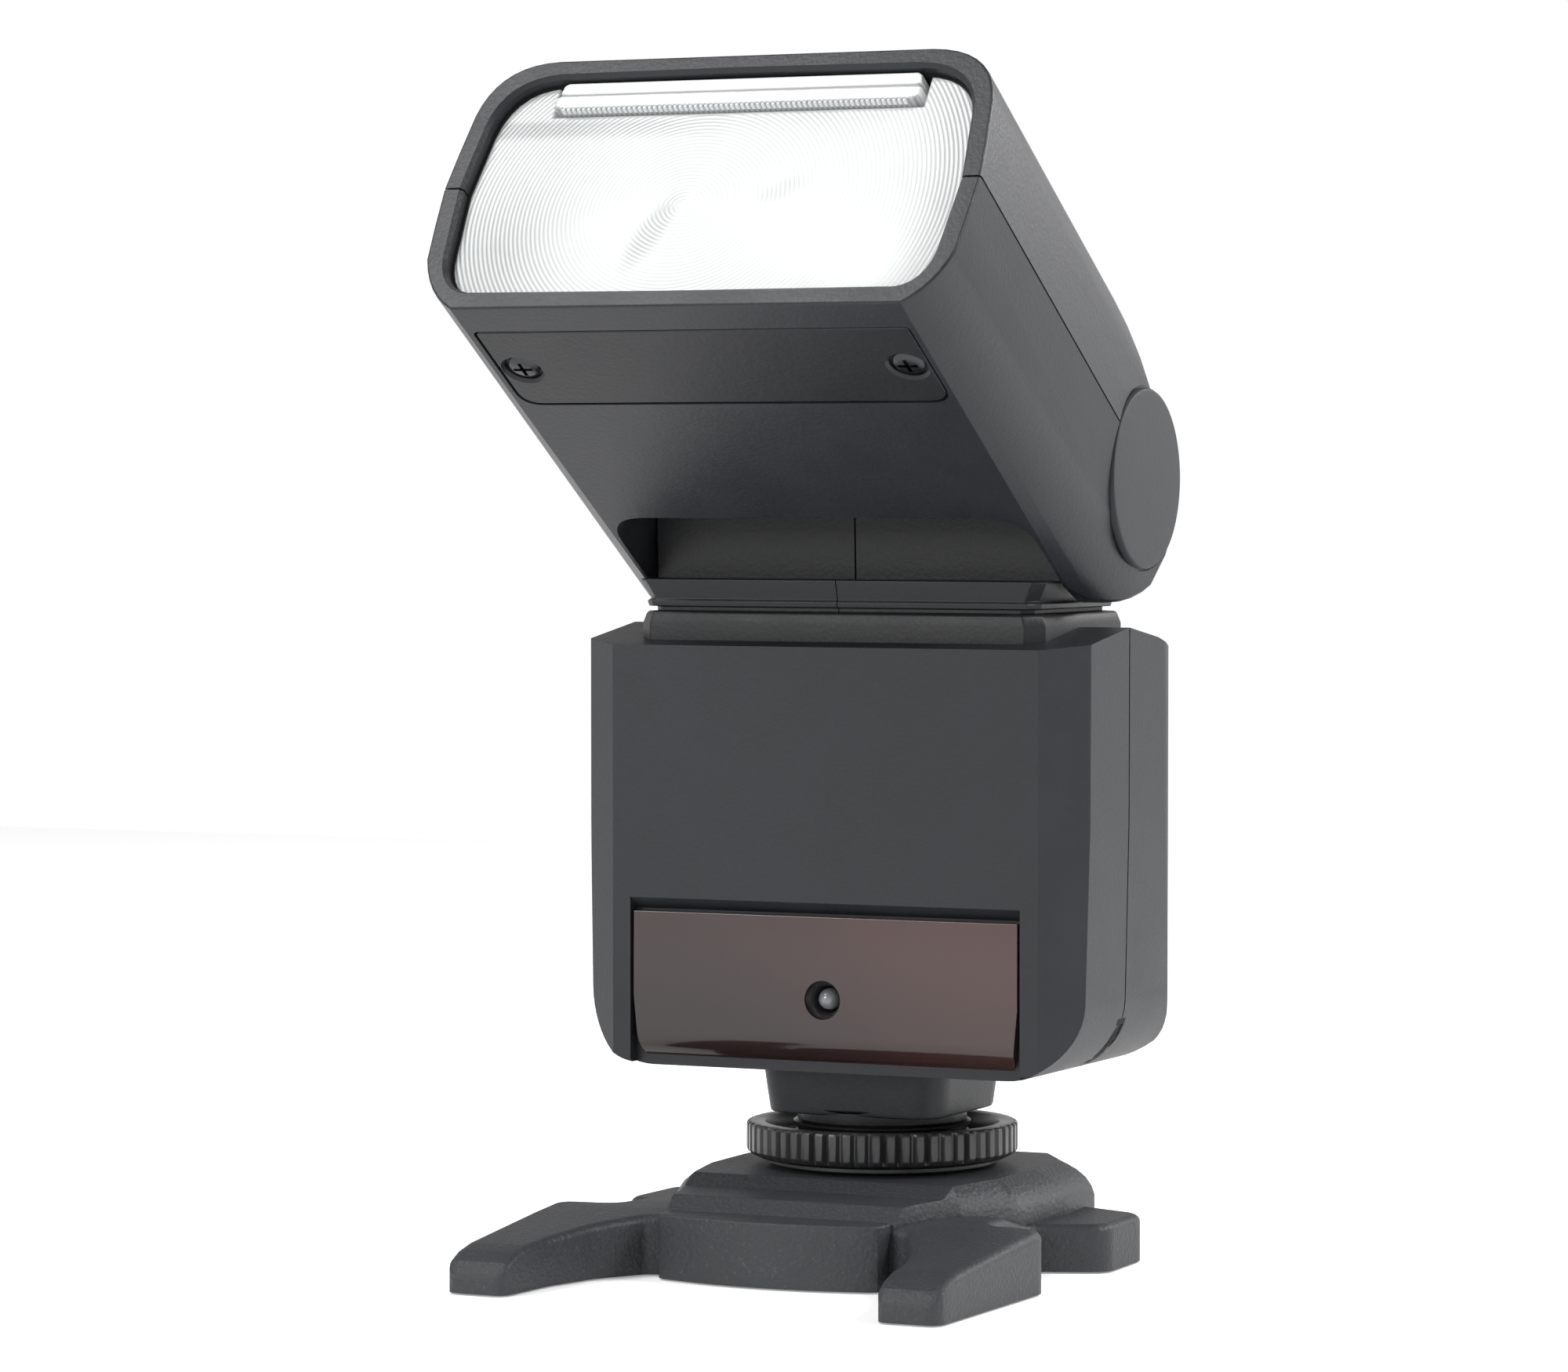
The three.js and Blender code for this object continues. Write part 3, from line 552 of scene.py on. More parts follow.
def board_finish():
    """Green solder mask with copper tracks."""
    paint = Paint("circuit_board_laminate")
    tracks = paint.cells(420.0, "DISTANCE_TO_EDGE").band(0.05, 0.09)
    weave = paint.noise(2600.0, 2.0)
    paint.set("Base Color", paint.mix(tracks, (0.06, 0.24, 0.07), (0.008, 0.085, 0.028)))
    paint.set("Roughness", 0.36 + weave * 0.15)
    paint.bump(weave * 0.3 + (1 - tracks) * 0.7, 0.00003)
    return paint.material


def cell_finish():
    """Printed foil sleeve: a dark band at one end and a green one over the rest."""
    paint = Paint("battery_sleeve_foil", Metallic=0.55)
    across = paint.along((1, 0, 0))
    end = across.band(-0.019, -0.0187)
    cloud = paint.noise(300.0, 3.0)
    paint.set("Base Color", paint.mix(end, (0.34, 0.25, 0.08), (0.018, 0.10, 0.045)))
    paint.set("Roughness", 0.26 + cloud * 0.12)
    paint.bump(cloud, 0.00002)
    return paint.material


def display_finish():
    """Grey-green liquid crystal glass with its faint dot rows."""
    paint = Paint("liquid_crystal_glass", Specular_IOR_Level=0.6)
    column = paint.along((1, 0, 0)).zigzag(DOT_STEP)
    row = paint.along((0, 0, 1)).zigzag(DOT_STEP)
    dots = column.band(0.2, 0.5) * row.band(0.2, 0.5)
    cloud = paint.noise(40.0, 2.0)
    paint.set("Base Color", paint.mix(dots * 0.25 + cloud * 0.2, (0.20, 0.235, 0.19), (0.13, 0.155, 0.13)))
    paint.set("Roughness", 0.18 + cloud * 0.08)
    paint.bump(dots, 0.00001)
    return paint.material


CASE_GREY = (0.0175, 0.0186, 0.0218)
FINISH = {
    "case": moulded("case_plastic", CASE_GREY, 0.46),
    "head": moulded("head_plastic", (0.0165, 0.0175, 0.0205), 0.36),
    "neck": moulded("neck_plastic", (0.0115, 0.0122, 0.0138), 0.40),
    "cover": moulded("cover_plastic", (0.0215, 0.0226, 0.026), 0.48),
    "label": moulded("label_plastic", (0.0105, 0.011, 0.0126), 0.40, grain=2600.0),
    "stand": stand_finish(),
    "ring": moulded("ring_plastic", (0.026, 0.0265, 0.0285), 0.32, grain=2200.0, relief=0.000015, gloss=0.5),
    "collar": moulded("collar_plastic", (0.006, 0.006, 0.0066), 0.34),
    "foot": moulded("foot_plastic", (0.012, 0.012, 0.013), 0.40),
    # near-black plastic for pieces that stand in for shade: behind the case and head seams and round the lens
    "dark": moulded("painted_shade_black", (0.003, 0.003, 0.0035), 0.75),
    "rubber": moulded("button_rubber", (0.034, 0.035, 0.038), 0.62, grain=2000.0),
    "dial": moulded("dial_plastic", (0.018, 0.018, 0.020), 0.40),
    "card": moulded("card_plastic", (0.72, 0.73, 0.72), 0.35, contrast=0.03),
    "carriage": moulded("carriage_plastic", (0.014, 0.014, 0.015), 0.5),
    "core": moulded("transformer_ferrite", (0.10, 0.075, 0.035), 0.55, grain=1200.0),
    "window": window_finish(),
    "dome": glossy("sensor_dome_plastic", (0.16, 0.165, 0.175), 0.07, coat=0.7),
    "sensor_ring": glossy("sensor_ring_plastic", (0.018, 0.016, 0.018), 0.22, coat=0.3),
    "red": glossy("test_button_plastic", (0.42, 0.035, 0.022), 0.18, coat=0.4),
    "display_cover": glossy("display_cover_plastic", (0.010, 0.011, 0.012), 0.08, coat=0.6),
    "display": display_finish(),
    "sleeve": glossy("capacitor_sleeve_film", (0.014, 0.015, 0.024), 0.24),
    "steel": brushed("polished_steel", (0.56, 0.57, 0.58), 0.24),
    "screw": brushed("blackened_steel", (0.055, 0.056, 0.060), 0.34),
    "gold": brushed("gold_plate", (0.76, 0.55, 0.22), 0.26),
    "brass": brushed("turned_brass", (0.58, 0.43, 0.17), 0.30),
    "nickel": brushed("nickel_plate", (0.62, 0.61, 0.57), 0.28),
    "reflector": brushed("bright_reflector", (0.90, 0.91, 0.92), 0.10),
    "lens": lens_finish(),
    # the panel and the tube glass glow with painted light, and the panel gets painted shade along its beads
    "panel": clear_finish("clear_panel_plastic", (0.62, 0.64, 0.65), 0.9, 0.26, 1.0),
    "tube": clear_finish("tube_glass", (0.92, 0.94, 0.96), 0.5, 0.1),
    "board": board_finish(),
    "cell": cell_finish(),
}

# ------ stand
LEG_TOP = [(-51.0, 0.9), (-50.8, 2.3), (-49.7, 3.5), (-47.9, 4.4), (-45.5, 4.95), (-38.0, 5.7), (-30.0, 6.5),
           (-25.0, 6.9), (-20.0, 7.0), (-16.0, 6.9), (-9.0, 5.35), (40.0, 5.25)]
STAND_TOP = 7.0
PEDESTAL_TOP = 7.25
BLOCK_TOP = 10.2
SLOT_FRONT, SLOT_HALF, THROAT_HALF, SLOT_FLOOR, SLOT_ROOF = -9.6, 9.6, 6.5, 6.4, 8.8


def leg_height(y):
    """Height of the legs, which falls to the front tips."""
    for (y0, h0), (y1, h1) in zip(LEG_TOP, LEG_TOP[1:]):
        if y <= y1:
            return h0 + (h1 - h0) * max(0.0, (y - y0) / (y1 - y0))
    return LEG_TOP[-1][1]


def leg_plan():
    side = fillet([(0.0, -28.2, 0), (13.8, -28.2, 0), (16.0, -29.0, 1.5), (19.4, -34.5, 9), (21.3, -41.5, 12),
                   (22.1, -50.9, 1.7), (29.5, -50.9, 1.9), (30.0, -22.6, 2.6), (23.0, -21.8, 2.5),
                   (21.8, -8.9, 2.4), (30.2, -5.4, 2.8), (29.9, 6.5, 3.6), (21.6, 9.8, 4.0),
                   (15.2, 20.6, 4.0), (0.0, 21.0, 0)])
    return mirrored(side)


def pedestal_plan():
    front = [(x, -33.3 + x * x / 80.0) for x in (0.0, 2.6, 5.2, 7.8, 10.4, 12.6)]
    return mirrored(front + [(13.35, -30.8), (13.6, -30.1), (13.7, -20.0), (0.0, -20.0)])


def shoe_block():
    """The block that holds the shoe: stepped at the front, with flanks that swell outwards at the foot."""
    foot = fillet([(0, -28.1, 0), (13.8, -28.1, 0.6), (14.9, -23.5, 4), (17.2, -17.5, 6), (21.6, -10.2, 5),
                   (22.4, 2.0, 12), (21.2, 13.5, 5), (14.0, 20.4, 4), (0, 21.3, 0)])
    head = fillet([(0, -28.1, 0), (13.4, -28.1, 0.6), (14.0, -22.5, 4), (15.9, -16.8, 6), (17.9, -8.0, 5),
                   (18.2, 2.0, 12), (17.0, 12.0, 5), (12.5, 18.4, 4), (0, 19.4, 0)])
    swell = [(4.0, 1.0), (6.2, 1.0), (7.2, 0.92), (8.2, 0.76), (9.0, 0.53), (9.6, 0.28),
             (BLOCK_TOP - 0.15, 0.06), (BLOCK_TOP, 0.0)]
    pairs = list(zip(mirrored(foot), mirrored(head)))
    rings = [[(h[0] + (f[0] - h[0]) * k, h[1] + (f[1] - h[1]) * k, z) for f, h in pairs] for z, k in swell]
    steps = fillet([(-27.7, 3.0, 0), (-27.7, 7.2, 0.3), (-25.4, 8.75, 0.5), (-19.0, 8.95, 0.7),
                    (-16.4, 10.15, 0.5), (16.8, BLOCK_TOP + 0.1, 1.0), (20.2, 8.2, 0.8), (22.0, 7.0, 0),
                    (22.0, 3.0, 0)], 4)
    return common(loft(rings), prism(steps, -40, 40, "x"))


def add_stand():
    legs = cushion_edge(leg_plan(), 0.0, STAND_TOP, "z", 1.1, 5)
    for y, _ in LEG_TOP[1:-1]:
        everything = list(legs.verts) + list(legs.edges) + list(legs.faces)
        bmesh.ops.bisect_plane(legs, geom=everything, plane_co=(0, y, 0), plane_no=(0, 1, 0), dist=1e-4)
    for v in legs.verts:
        v.co.z *= leg_height(v.co.y) / STAND_TOP
    pedestal = cushion_edge(pedestal_plan(), 0.0, PEDESTAL_TOP, "z", 0.3, 3)
    body = joined(legs, pedestal, eased(shoe_block(), 0.3, 2, 30, lambda p: p.z > 7.4))
    body = cut(body, block(-SLOT_HALF, SLOT_HALF, SLOT_FRONT, 30, SLOT_FLOOR, SLOT_ROOF),
               block(-THROAT_HALF, THROAT_HALF, SLOT_FRONT, 30, SLOT_FLOOR, 14), rod(4.8, -1, 5.5, "z"))
    add_piece("stand_moulding", body, "stand", "mini_stand",
              stands_for=["mini_stand"], smooth=34)


# ------ foot and ring
RIBS = 58
RING_R, RIB_DEPTH = 15.6, 0.62


def add_lock_ring():
    random.seed(7)
    weights = [0.75 + 0.5 * random.random() for _ in range(RIBS)]

    def rib(a):
        turn = a / (2 * math.pi) * RIBS
        phase = turn - math.floor(turn)
        return weights[int(turn) % RIBS] * max(0.0, math.cos(2 * math.pi * (phase - 0.5))) ** 0.5

    low, high = RING_LOW.z - 0.2, RING_HIGH.z + 0.2
    profile = [(10.6, low), (14.4, low), (15.1, low + 0.35, 0.2), (15.5, low + 0.7, 0.6),
               (RING_R, low + 0.9, RIB_DEPTH), (RING_R, high - 0.4, RIB_DEPTH), (15.52, high - 0.16, 0.5),
               (15.3, high - 0.03, 0.2), (15.1, high, 0.0), (13.6, high), (13.45, high - 0.15),
               (13.4, high - 1.7), (13.1, high - 1.9), (10.9, high - 1.9), (10.6, high - 2.1)]
    ring = turned(profile, RIBS * 8, wave=rib)
    add_piece("knurled_ring", ring, "ring", "lock_ring", stands_for=["lock_ring"], smooth=50)


def add_collar():
    low, high = (corner[2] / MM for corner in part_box("threaded_collar"))
    bore, root, crest, pitch = 7.0, 9.75, 10.2, 1.25
    profile = [(bore, low), (9.6, low)]
    z = low + 0.3
    while z + pitch < high - 0.2:
        profile += [(crest, z + 0.25), (crest, z + 0.5), (root, z + 0.8), (root, z + 1.0)]
        z += pitch
    profile += [(root, high - 0.3), (crest, high), (bore, high)]
    add_piece("collar_thread", turned(profile, 96), "collar", "flash_body",
              stands_for=["threaded_collar"])


def add_foot_block():
    top = rounded(0, 0, 11.5, 10.3, 4.1, 6)
    low, high = (corner[2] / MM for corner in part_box("foot_block"))
    rings = [(0.905, low - 0.9), (0.935, low - 0.78), (0.945, low - 0.45), (1.0, high + 0.3)]
    bm = stacked(top, rings)
    add_piece("foot_block_moulding", bm, "case", "flash_body", stands_for=["foot_block"])


def add_foot_plate():
    plate = cushion_edge(rounded(0, 0, 9.2, 9, 1.2, 4), 8.5, 6.6, "z", 0.25, 3, both=True)
    post = eased(block(-5.9, 5.9, -6, 6, 8.4, 13.0), 0.4, 2)
    holes = [rod(1.2, 5, 9, "z", (0, -7.6), 20)]
    spots = ((0, 0, 1.25), (3.4, -3.6, 0.85), (-3.4, -3.6, 0.85), (3.4, 2.8, 0.85), (-3.4, 2.8, 0.85))
    holes += [rod(r, 5, 8.0, "z", (x, y), 20) for x, y, r in spots]
    add_piece("foot_plate", cut(merged(plate, post), *holes), "foot", "flash_body",
              stands_for=["shoe_foot"])


def add_washer():
    profile = [(6.4, 10.4), (12.9, 10.4), (13.2, 10.6), (13.2, 10.95), (13.05, 11.1), (6.4, 11.1)]
    add_piece("pressure_washer", turned(profile, 96), "ring", "clamp",
              stands_for=["clamp_washer"])


# ------ case
FACE_X, SIDE_X = 26.3, 31.1
FRONT_Y, CHAMFER_Y, REAR_Y = -16.5, -12.8, 16.1
PARTING_Y = -1.4
SEAM_HALF = 0.14
CASE_LOW = 22.0
SENSOR_HOLE = (0, 30.3)


def swivel_hole(steps=64):
    """Cutter for the bore that the swivel tube turns in."""
    return rod(9.8, 60, 90, "z", steps=steps)


def case_solid():
    """The whole case before it is split and before its edges are eased: three outlines that meet."""
    corner = arc(21.8, CASE_LOW + 8.8, 8.8, -84, -2, 12)
    face = mirrored([(21.8, CASE_LOW)] + corner + [(31.0, 50), (31.05, 75)])
    plan = fillet([(-FACE_X, FRONT_Y, 0), (FACE_X, FRONT_Y, 0), (SIDE_X, CHAMFER_Y, 0.8),
                   (SIDE_X, REAR_Y, 8.0), (-SIDE_X, REAR_Y, 8.0), (-SIDE_X, CHAMFER_Y, 0.8)], 8)
    side = fillet([(FRONT_Y, 22.7, 0), (FRONT_Y + 0.7, CASE_LOW, 0), (13.0, CASE_LOW, 0), (REAR_Y, 25.2, 0),
                   (REAR_Y, 66.6, 0), (14.0, 69.2, 0), (7.4, 70.9, 0.5), (PARTING_Y, 72.2, 1.0),
                   (FRONT_Y, 70.0, 0)], 4)
    body = common(prism(face, -30, 30, "y"), prism(side, -40, 40, "x"))
    return common(body, prism(plan, 0, 90, "z"))


def window_recess():
    """Cutter for the infrared window's recess, with a sloping upper lip."""
    return prism([(-14.9, 18), (-14.9, 39.9), (-16.6, 41.3), (-19, 41.3), (-19, 18)], -24.1, 24.1, "x")


def door_cutters():
    return [block(-40, -29.6, -11.5, 7.8, 24.9, 64.1), block(-40, -28.0, -10.8, 3.4, 30.4, 60.6),
            block(-28.6, 24.0, -11.4, 3.3, 30.6, 60.4)]


def add_case():
    whole = eased(case_solid(), 0.4, 3, 20)
    front = common(whole.copy(), block(-40, 40, -40, PARTING_Y - SEAM_HALF, 0, 90))
    rear = common(whole, block(-40, 40, PARTING_Y + SEAM_HALF, 40, 0, 90))
    hole = rod(2.25, -30, -12, "y", SENSOR_HOLE, 40)
    front = cut(front, window_recess(), hole, swivel_hole(), *door_cutters())
    rear = cut(rear, swivel_hole(), *door_cutters(), *rear_cutters())
    # painted shade: a near-black block behind the parting gap stands in for the shade inside the seam
    core = common(eased(case_solid(), 0.4, 2, 20), block(-30.2, 30.2, -2.6, -0.2, 22.8, 71.2))
    core = cut(core, *door_cutters(), swivel_hole(48))
    add_piece("case_front", front, "case", "flash_body", CASE, ["front_shell"], 26)
    add_piece("case_rear", rear, "case", "flash_body", CASE, ["rear_shell"], 26)
    add_piece("case_seam_shade_block", core, "dark", "flash_body")


def add_window():
    outer = [(-16.36, 39.65), (-16.42, 33.0), (-16.40, 26.4)] + arc(-12.7, 26.2, 3.72, 184, 262, 8)
    inner = [(-13.0, 23.2), (-14.9, 26.0), (-15.1, 39.65)]
    pane = prism(outer + inner, -23.75, 23.75, "x")
    trim = mirrored([(22.3, 22.2), (23.2, 24.2), (23.75, 30.0), (23.75, 41.0)])
    pane = common(pane, prism(trim, -30, 0, "y"))
    pane = cut(eased(pane, 0.28, 3, 24), rod(2.2, -30, -12, "y", SENSOR_HOLE, 48))
    add_piece("window_pane", pane, "window", "flash_body", CASE, ["sensor_window"], 40)


def add_sensor():
    socket = [(1.35, -14.2), (1.75, -15.35), (2.18, -15.95), (2.18, -12.6), (1.35, -12.6)]
    add_piece("sensor_socket", turned(socket, 48, "y", SENSOR_HOLE), "sensor_ring", "flash_body")
    dome = [(0.0, -15.7), (0.35, -15.66), (0.7, -15.5), (1.0, -15.2), (1.2, -14.75), (1.28, -14.2),
            (1.28, -13.0), (0.0, -13.0)]
    add_piece("sensor_dome", turned(dome, 32, "y", SENSOR_HOLE), "dome", "flash_body",
              stands_for=["sensor_lens"], smooth=60)


# ------ rear controls
BUTTON_X, BUTTON_Z = (-16.5, -5.5, 5.5, 16.5), 39.6
DISPLAY, DIAL, TEST, POWER = (0, 53.5), (11.0, 30.8), (-12.5, 33.6), (-14.5, 27.9)
TRACK = (POWER[0] + 2, POWER[1])


def rear_cutters():
    wells = [(DISPLAY, 17.4, 9.9, 1.6, 14.9), (DISPLAY, 14.2, 6.8, 0.8, 8), (TEST, 4.25, 2.05, 1.35, 8),
             (TRACK, 4.4, 1.6, 0.7, 8), (TRACK, 5.2, 2.3, 1.0, 15.6)]
    wells += [((x, BUTTON_Z), 4.25, 1.85, 1.15, 8) for x in BUTTON_X]
    cutters = [prism(rounded(*middle, half_x, half_z, radius), floor, 30, "y")
               for middle, half_x, half_z, radius, floor in wells]
    return cutters + [rod(6.5, 8, 30, "y", DIAL, 64)]


def add_display():
    cover = cushion_edge(rounded(*DISPLAY, 17.1, 9.6, 1.4), 15.1, 16.15, "y", 0.3, 3)
    cover = cut(cover, prism(rounded(*DISPLAY, 13.4, 7.2, 0.6), 15.75, 20, "y"))
    add_piece("display_bezel", cover, "display_cover", "flash_body",
              stands_for=["display_window"])
    glass = cushion_edge(rounded(*DISPLAY, 13.1, 6.9, 0.5), 11.0, 15.95, "y", 0.1, 2)
    add_piece("display_panel", glass, "display", "flash_body", stands_for=["display_module"])


def add_buttons():
    for i, x in enumerate(BUTTON_X):
        cap = cushion_edge(rounded(x, BUTTON_Z, 3.95, 1.55, 1.0), 13.4, 16.95, "y", 0.45, 4)
        mark = prism(rounded(x, BUTTON_Z, 1.4, 0.16, 0.12, 3), 16.85, 18, "y")
        name = f"control_button_{i + 1}"
        add_piece(f"button_cap_{i + 1}", cut(cap, mark), "rubber", name, stands_for=[name])
    cap = cushion_edge(rounded(*TEST, 3.95, 1.75, 1.2), 13.4, 16.95, "y", 0.5, 4)
    add_piece("test_button_cap", cap, "red", "test_button", stands_for=["test_button"])


def add_dial():
    rim = [(3.0, 13.6), (6.15, 13.6, 0.3), (6.2, 16.9, 0.3), (6.05, 17.25, 0.2), (5.7, 17.5), (3.6, 17.35),
           (3.3, 17.1), (3.0, 17.0)]
    wheel = turned(rim, 40 * 6, "y", DIAL, lambda a: max(0.0, math.cos(a * 40)) ** 0.7)
    dot = rod(0.35, 17.2, 17.7, "y", (DIAL[0], DIAL[1] + 4.7), 20, 0.1)
    add_piece("dial_wheel", merged(wheel, dot), "dial", "select_dial", CASE,
              ["select_dial"], 50)
    push = [(0.0, 13.2), (2.6, 13.2), (2.6, 16.8), (2.4, 17.1), (1.9, 17.2), (1.2, 17.05), (0.0, 16.95)]
    add_piece("set_button_cap", turned(push, 48, "y", DIAL), "rubber", "set_button",
              CASE, ["set_button"], 50)


def add_power_switch():
    knob = cushion_edge(rounded(*POWER, 2.0, 1.3, 0.5), 12.9, 17.1, "y", 0.3, 3)
    x, z = POWER
    ridges = [block(x + s - 0.16, x + s + 0.16, 16.8, 18, z - 2, z + 2) for s in (-0.85, 0, 0.85)]
    add_piece("power_switch_knob", cut(knob, *ridges), "rubber", "power_switch",
              stands_for=["power_switch"])


def add_battery_door():
    face = rounded(-2.6, 46.0, 8.55, 17.75, 1.2)
    panel = cushion_edge(face, -29.9, -30.98, "x", 0.35, 3)
    grips = [block(-32, -30.72, y - 0.35, y + 0.35, 52.5, 60.5) for y in (-6.6, -4.6, -2.6, -0.6, 1.4)]
    arrow = prism([(-4.6, 49.6), (-0.6, 49.6), (-2.6, 47.4)], -32, -30.78, "x")
    add_piece("battery_door_panel", cut(panel, *grips, arrow), "case", "battery_door",
              stands_for=["battery_door"])


# ------ neck
def add_neck():
    hinge_y, hinge_z = TILT_POINT.y - AXIS_Y, TILT_POINT.z
    seat = [(-23.2, -13.2), (23.2, -13.2), (25.0, -11.4), (25.0, 11), (23, 13), (-23, 13), (-25.0, 11),
            (-25.0, -11.4)]
    rise = ((1.0, 69.6), (1.0, 72.4), (0.985, 73.5), (0.975, 73.75), (0.94, 73.8))
    plinth = cut(eased(stacked(seat, rise), 0.15, 2, 25), swivel_hole())
    add_piece("plinth_moulding", plinth, "neck", "flash_body", stands_for=["swivel_plinth"])
    brow = [(-23.9, -12.9), (23.9, -12.9), (25.2, -11.6), (25.2, 9.9), (23.9, 11.1), (-23.9, 11.1),
            (-25.2, 9.9), (-25.2, -11.6)]
    levels = ((0.93, 73.78), (0.93, 74.3), (0.965, 74.32), (0.972, 74.9), (0.955, 75.2), (0.985, 76.6),
              (1.0, 77.25), (0.995, 77.45), (0.97, 77.5))
    slab = eased(stacked(brow, levels), 0.08, 1, 30)
    web = [(-7.4, 77.0), (9.8, 77.0), (hinge_y + 9.3, hinge_z), (hinge_y - 9.3, hinge_z)]
    for side, name in ((1, "left"), (-1, "right")):
        ledge = common(slab.copy(), block(0.06, 30, -30, 30, 70, 80))
        post = joined(prism(web, 0.1, 25.0, "x"), rod(9.3, 0.1, 25.0, "x", (hinge_y, hinge_z), 72))
        post = cut(eased(post, 0.3, 2, 40), rod(2.75, -40, 40, "x", (hinge_y, hinge_z), 32))
        half = merged(ledge, post)
        if side < 0:
            flipped(half)
        add_piece(f"neck_{name}_moulding", half, "neck", "neck",
                  stands_for=[f"neck_{name}_half"], smooth=26)


# ------ head
FRONT, REAR, TOP, LOW = 57.0, -10.3, 17.8, -15.2
PART_T, HEAD_SEAM_HALF = 0.75, 0.13
SWING_R = 10.6


def head_section():
    """Right half of the head's section, bottom to top, as (x, t)."""
    half = [(0.0, LOW), (26.6, LOW)]
    half += bend((26.6, LOW), (30.1, -13.2), (31.4, -8.6), 6)
    half += [(31.75, -4.0), (32.0, PART_T), (31.6, 5.5), (31.05, 10.6)]
    half += bend((31.05, 10.6), (29.9, 17.6), (22.4, TOP), 9)
    half += [(0.0, TOP)]
    return half


def cavity_section():
    half = [(0.0, -12.95), (25.2, -12.85)]
    half += bend((25.2, -12.85), (28.3, -12.4), (29.0, -8.3), 6)
    half += [(29.65, PART_T), (28.85, 9.2)]
    half += bend((28.85, 9.2), (28.0, 15.1), (21.6, 15.5), 8)
    half += [(0.0, 15.65)]
    return half


def rear_reach(t):
    """Where the head's rear surface lies, as a distance forward of the hinge, at a height t."""
    if t < -2.0:
        s = min(1.0, (-2.0 - t) / (-2.0 - LOW))
        return REAR + 11.4 * (1 - math.sqrt(max(0.0, 1 - s ** 2.3)))
    if t < 9.6:
        s = max(0.0, t) / 9.6
        return REAR + 12.2 * (1 - math.sqrt(max(0.0, 1 - s ** 2.2)))
    s = min(1.0, (t - 9.6) / (TOP - 9.6))
    return 1.9 + 22.0 * s ** 1.35


def head_solid():
    half = head_section()
    outline = mirrored(half)
    bm = bmesh.new()
    front = [bm.verts.new((x, -FRONT, t)) for x, t in outline]
    rear = [bm.verts.new((x, -rear_reach(t), t)) for x, t in outline]
    n = len(outline)
    for i in range(n):
        j = (i + 1) % n
        bm.faces.new((front[i], front[j], rear[j], rear[i]))
    bm.faces.new(front)
    last = len(half) - 1
    left = {i: (n - i) % n for i in range(last + 1)}
    for i in range(last):
        corners = [rear[i], rear[i + 1], rear[left[i + 1]], rear[left[i]]]
        corners = list(dict.fromkeys(corners))
        if len(corners) > 2:
            bm.faces.new(corners)
    bmesh.ops.recalc_face_normals(bm, faces=bm.faces)
    return bm


def head_cutters():
    inner = mirrored(cavity_section())
    flare = grown(inner, 0.45)
    steps = ((grown(inner, 0.75), -FRONT - 0.3), (flare, -FRONT), (inner, -FRONT + 0.45), (inner, -17.3))
    cavity = loft([[(x, y, t) for x, t in ring] for ring, y in steps])
    mouth = fillet([(-25.7, 30, 0), (-25.7, -15.2, 5.0), (25.7, -15.2, 5.0), (25.7, 30, 0)], 8)
    pocket = prism(mouth, -20, -10.4, "z")
    swing = [(-SWING_R, -11)] + arc(0, 0, SWING_R, 195, 90, 14) + [(16, SWING_R), (20, -11)]
    barrel = prism(swing, -25.6, 25.6, "x")
    shaft = rod(2.8, -40, 40, "x", steps=32)
    covers = [rod(10.45, 31.15, 40, "x", steps=96), rod(10.45, -40, -31.15, "x", steps=96)]
    return [cavity, pocket, barrel, shaft, *covers]


def thumb_scoop():
    """The shallow curved scoop in front of the pocket."""
    half_width = 10.4
    across = [half_width * (k / 8 - 1) for k in range(17)]
    outline = [(x, -15.0 - 2.3 * (1 - (x / half_width) ** 2)) for x in across]
    return prism(outline + [(half_width, -14.0), (-half_width, -14.0)], -20, LOW + 0.12, "z")


def add_head_shells():
    whole = head_solid()
    eased(whole, 1.3, 4, 40, lambda p: p.y > -26)
    eased(whole, 0.32, 3, 60, lambda p: p.y < -FRONT + 0.1)
    whole = cut(whole, *head_cutters())
    upper = common(whole.copy(), block(-40, 40, -90, 40, PART_T + HEAD_SEAM_HALF, 40))
    lower = common(whole, block(-40, 40, -90, 40, -40, PART_T - HEAD_SEAM_HALF))
    plate = fillet([(-25.9, -52.5, 0.8), (25.9, -52.5, 0.8), (25.9, -38.2, 2.6), (-25.9, -38.2, 2.6)], 6)
    lower = cut(lower, prism(plate, -20, LOW + 0.75, "z"), thumb_scoop())
    add_piece("head_upper", upper, "head", "head", HEAD, ["head_upper_shell"], 24)
    add_piece("head_lower", lower, "head", "head", HEAD, ["head_lower_shell"], 24)
    # painted shade: a near-black block behind the head's parting gap stands in for the shade inside the seam
    inside = grown(mirrored(head_section()), -0.9)
    hollow = grown(mirrored(cavity_section()), 0.3)
    seam = common(prism(inside, -FRONT + 0.7, 4.0, "y"), block(-40, 40, -90, 40, -1.2, 2.6))
    seam = cut(seam, prism(hollow, -90, -18, "y"), block(-26, 26, -18, 30, -30, 30),
               rod(10.8, -40, 40, "x", steps=64))
    add_piece("head_seam_shade_block", seam, "dark", "head", HEAD)


SCREW_X, SCREW_Y = 23, -45


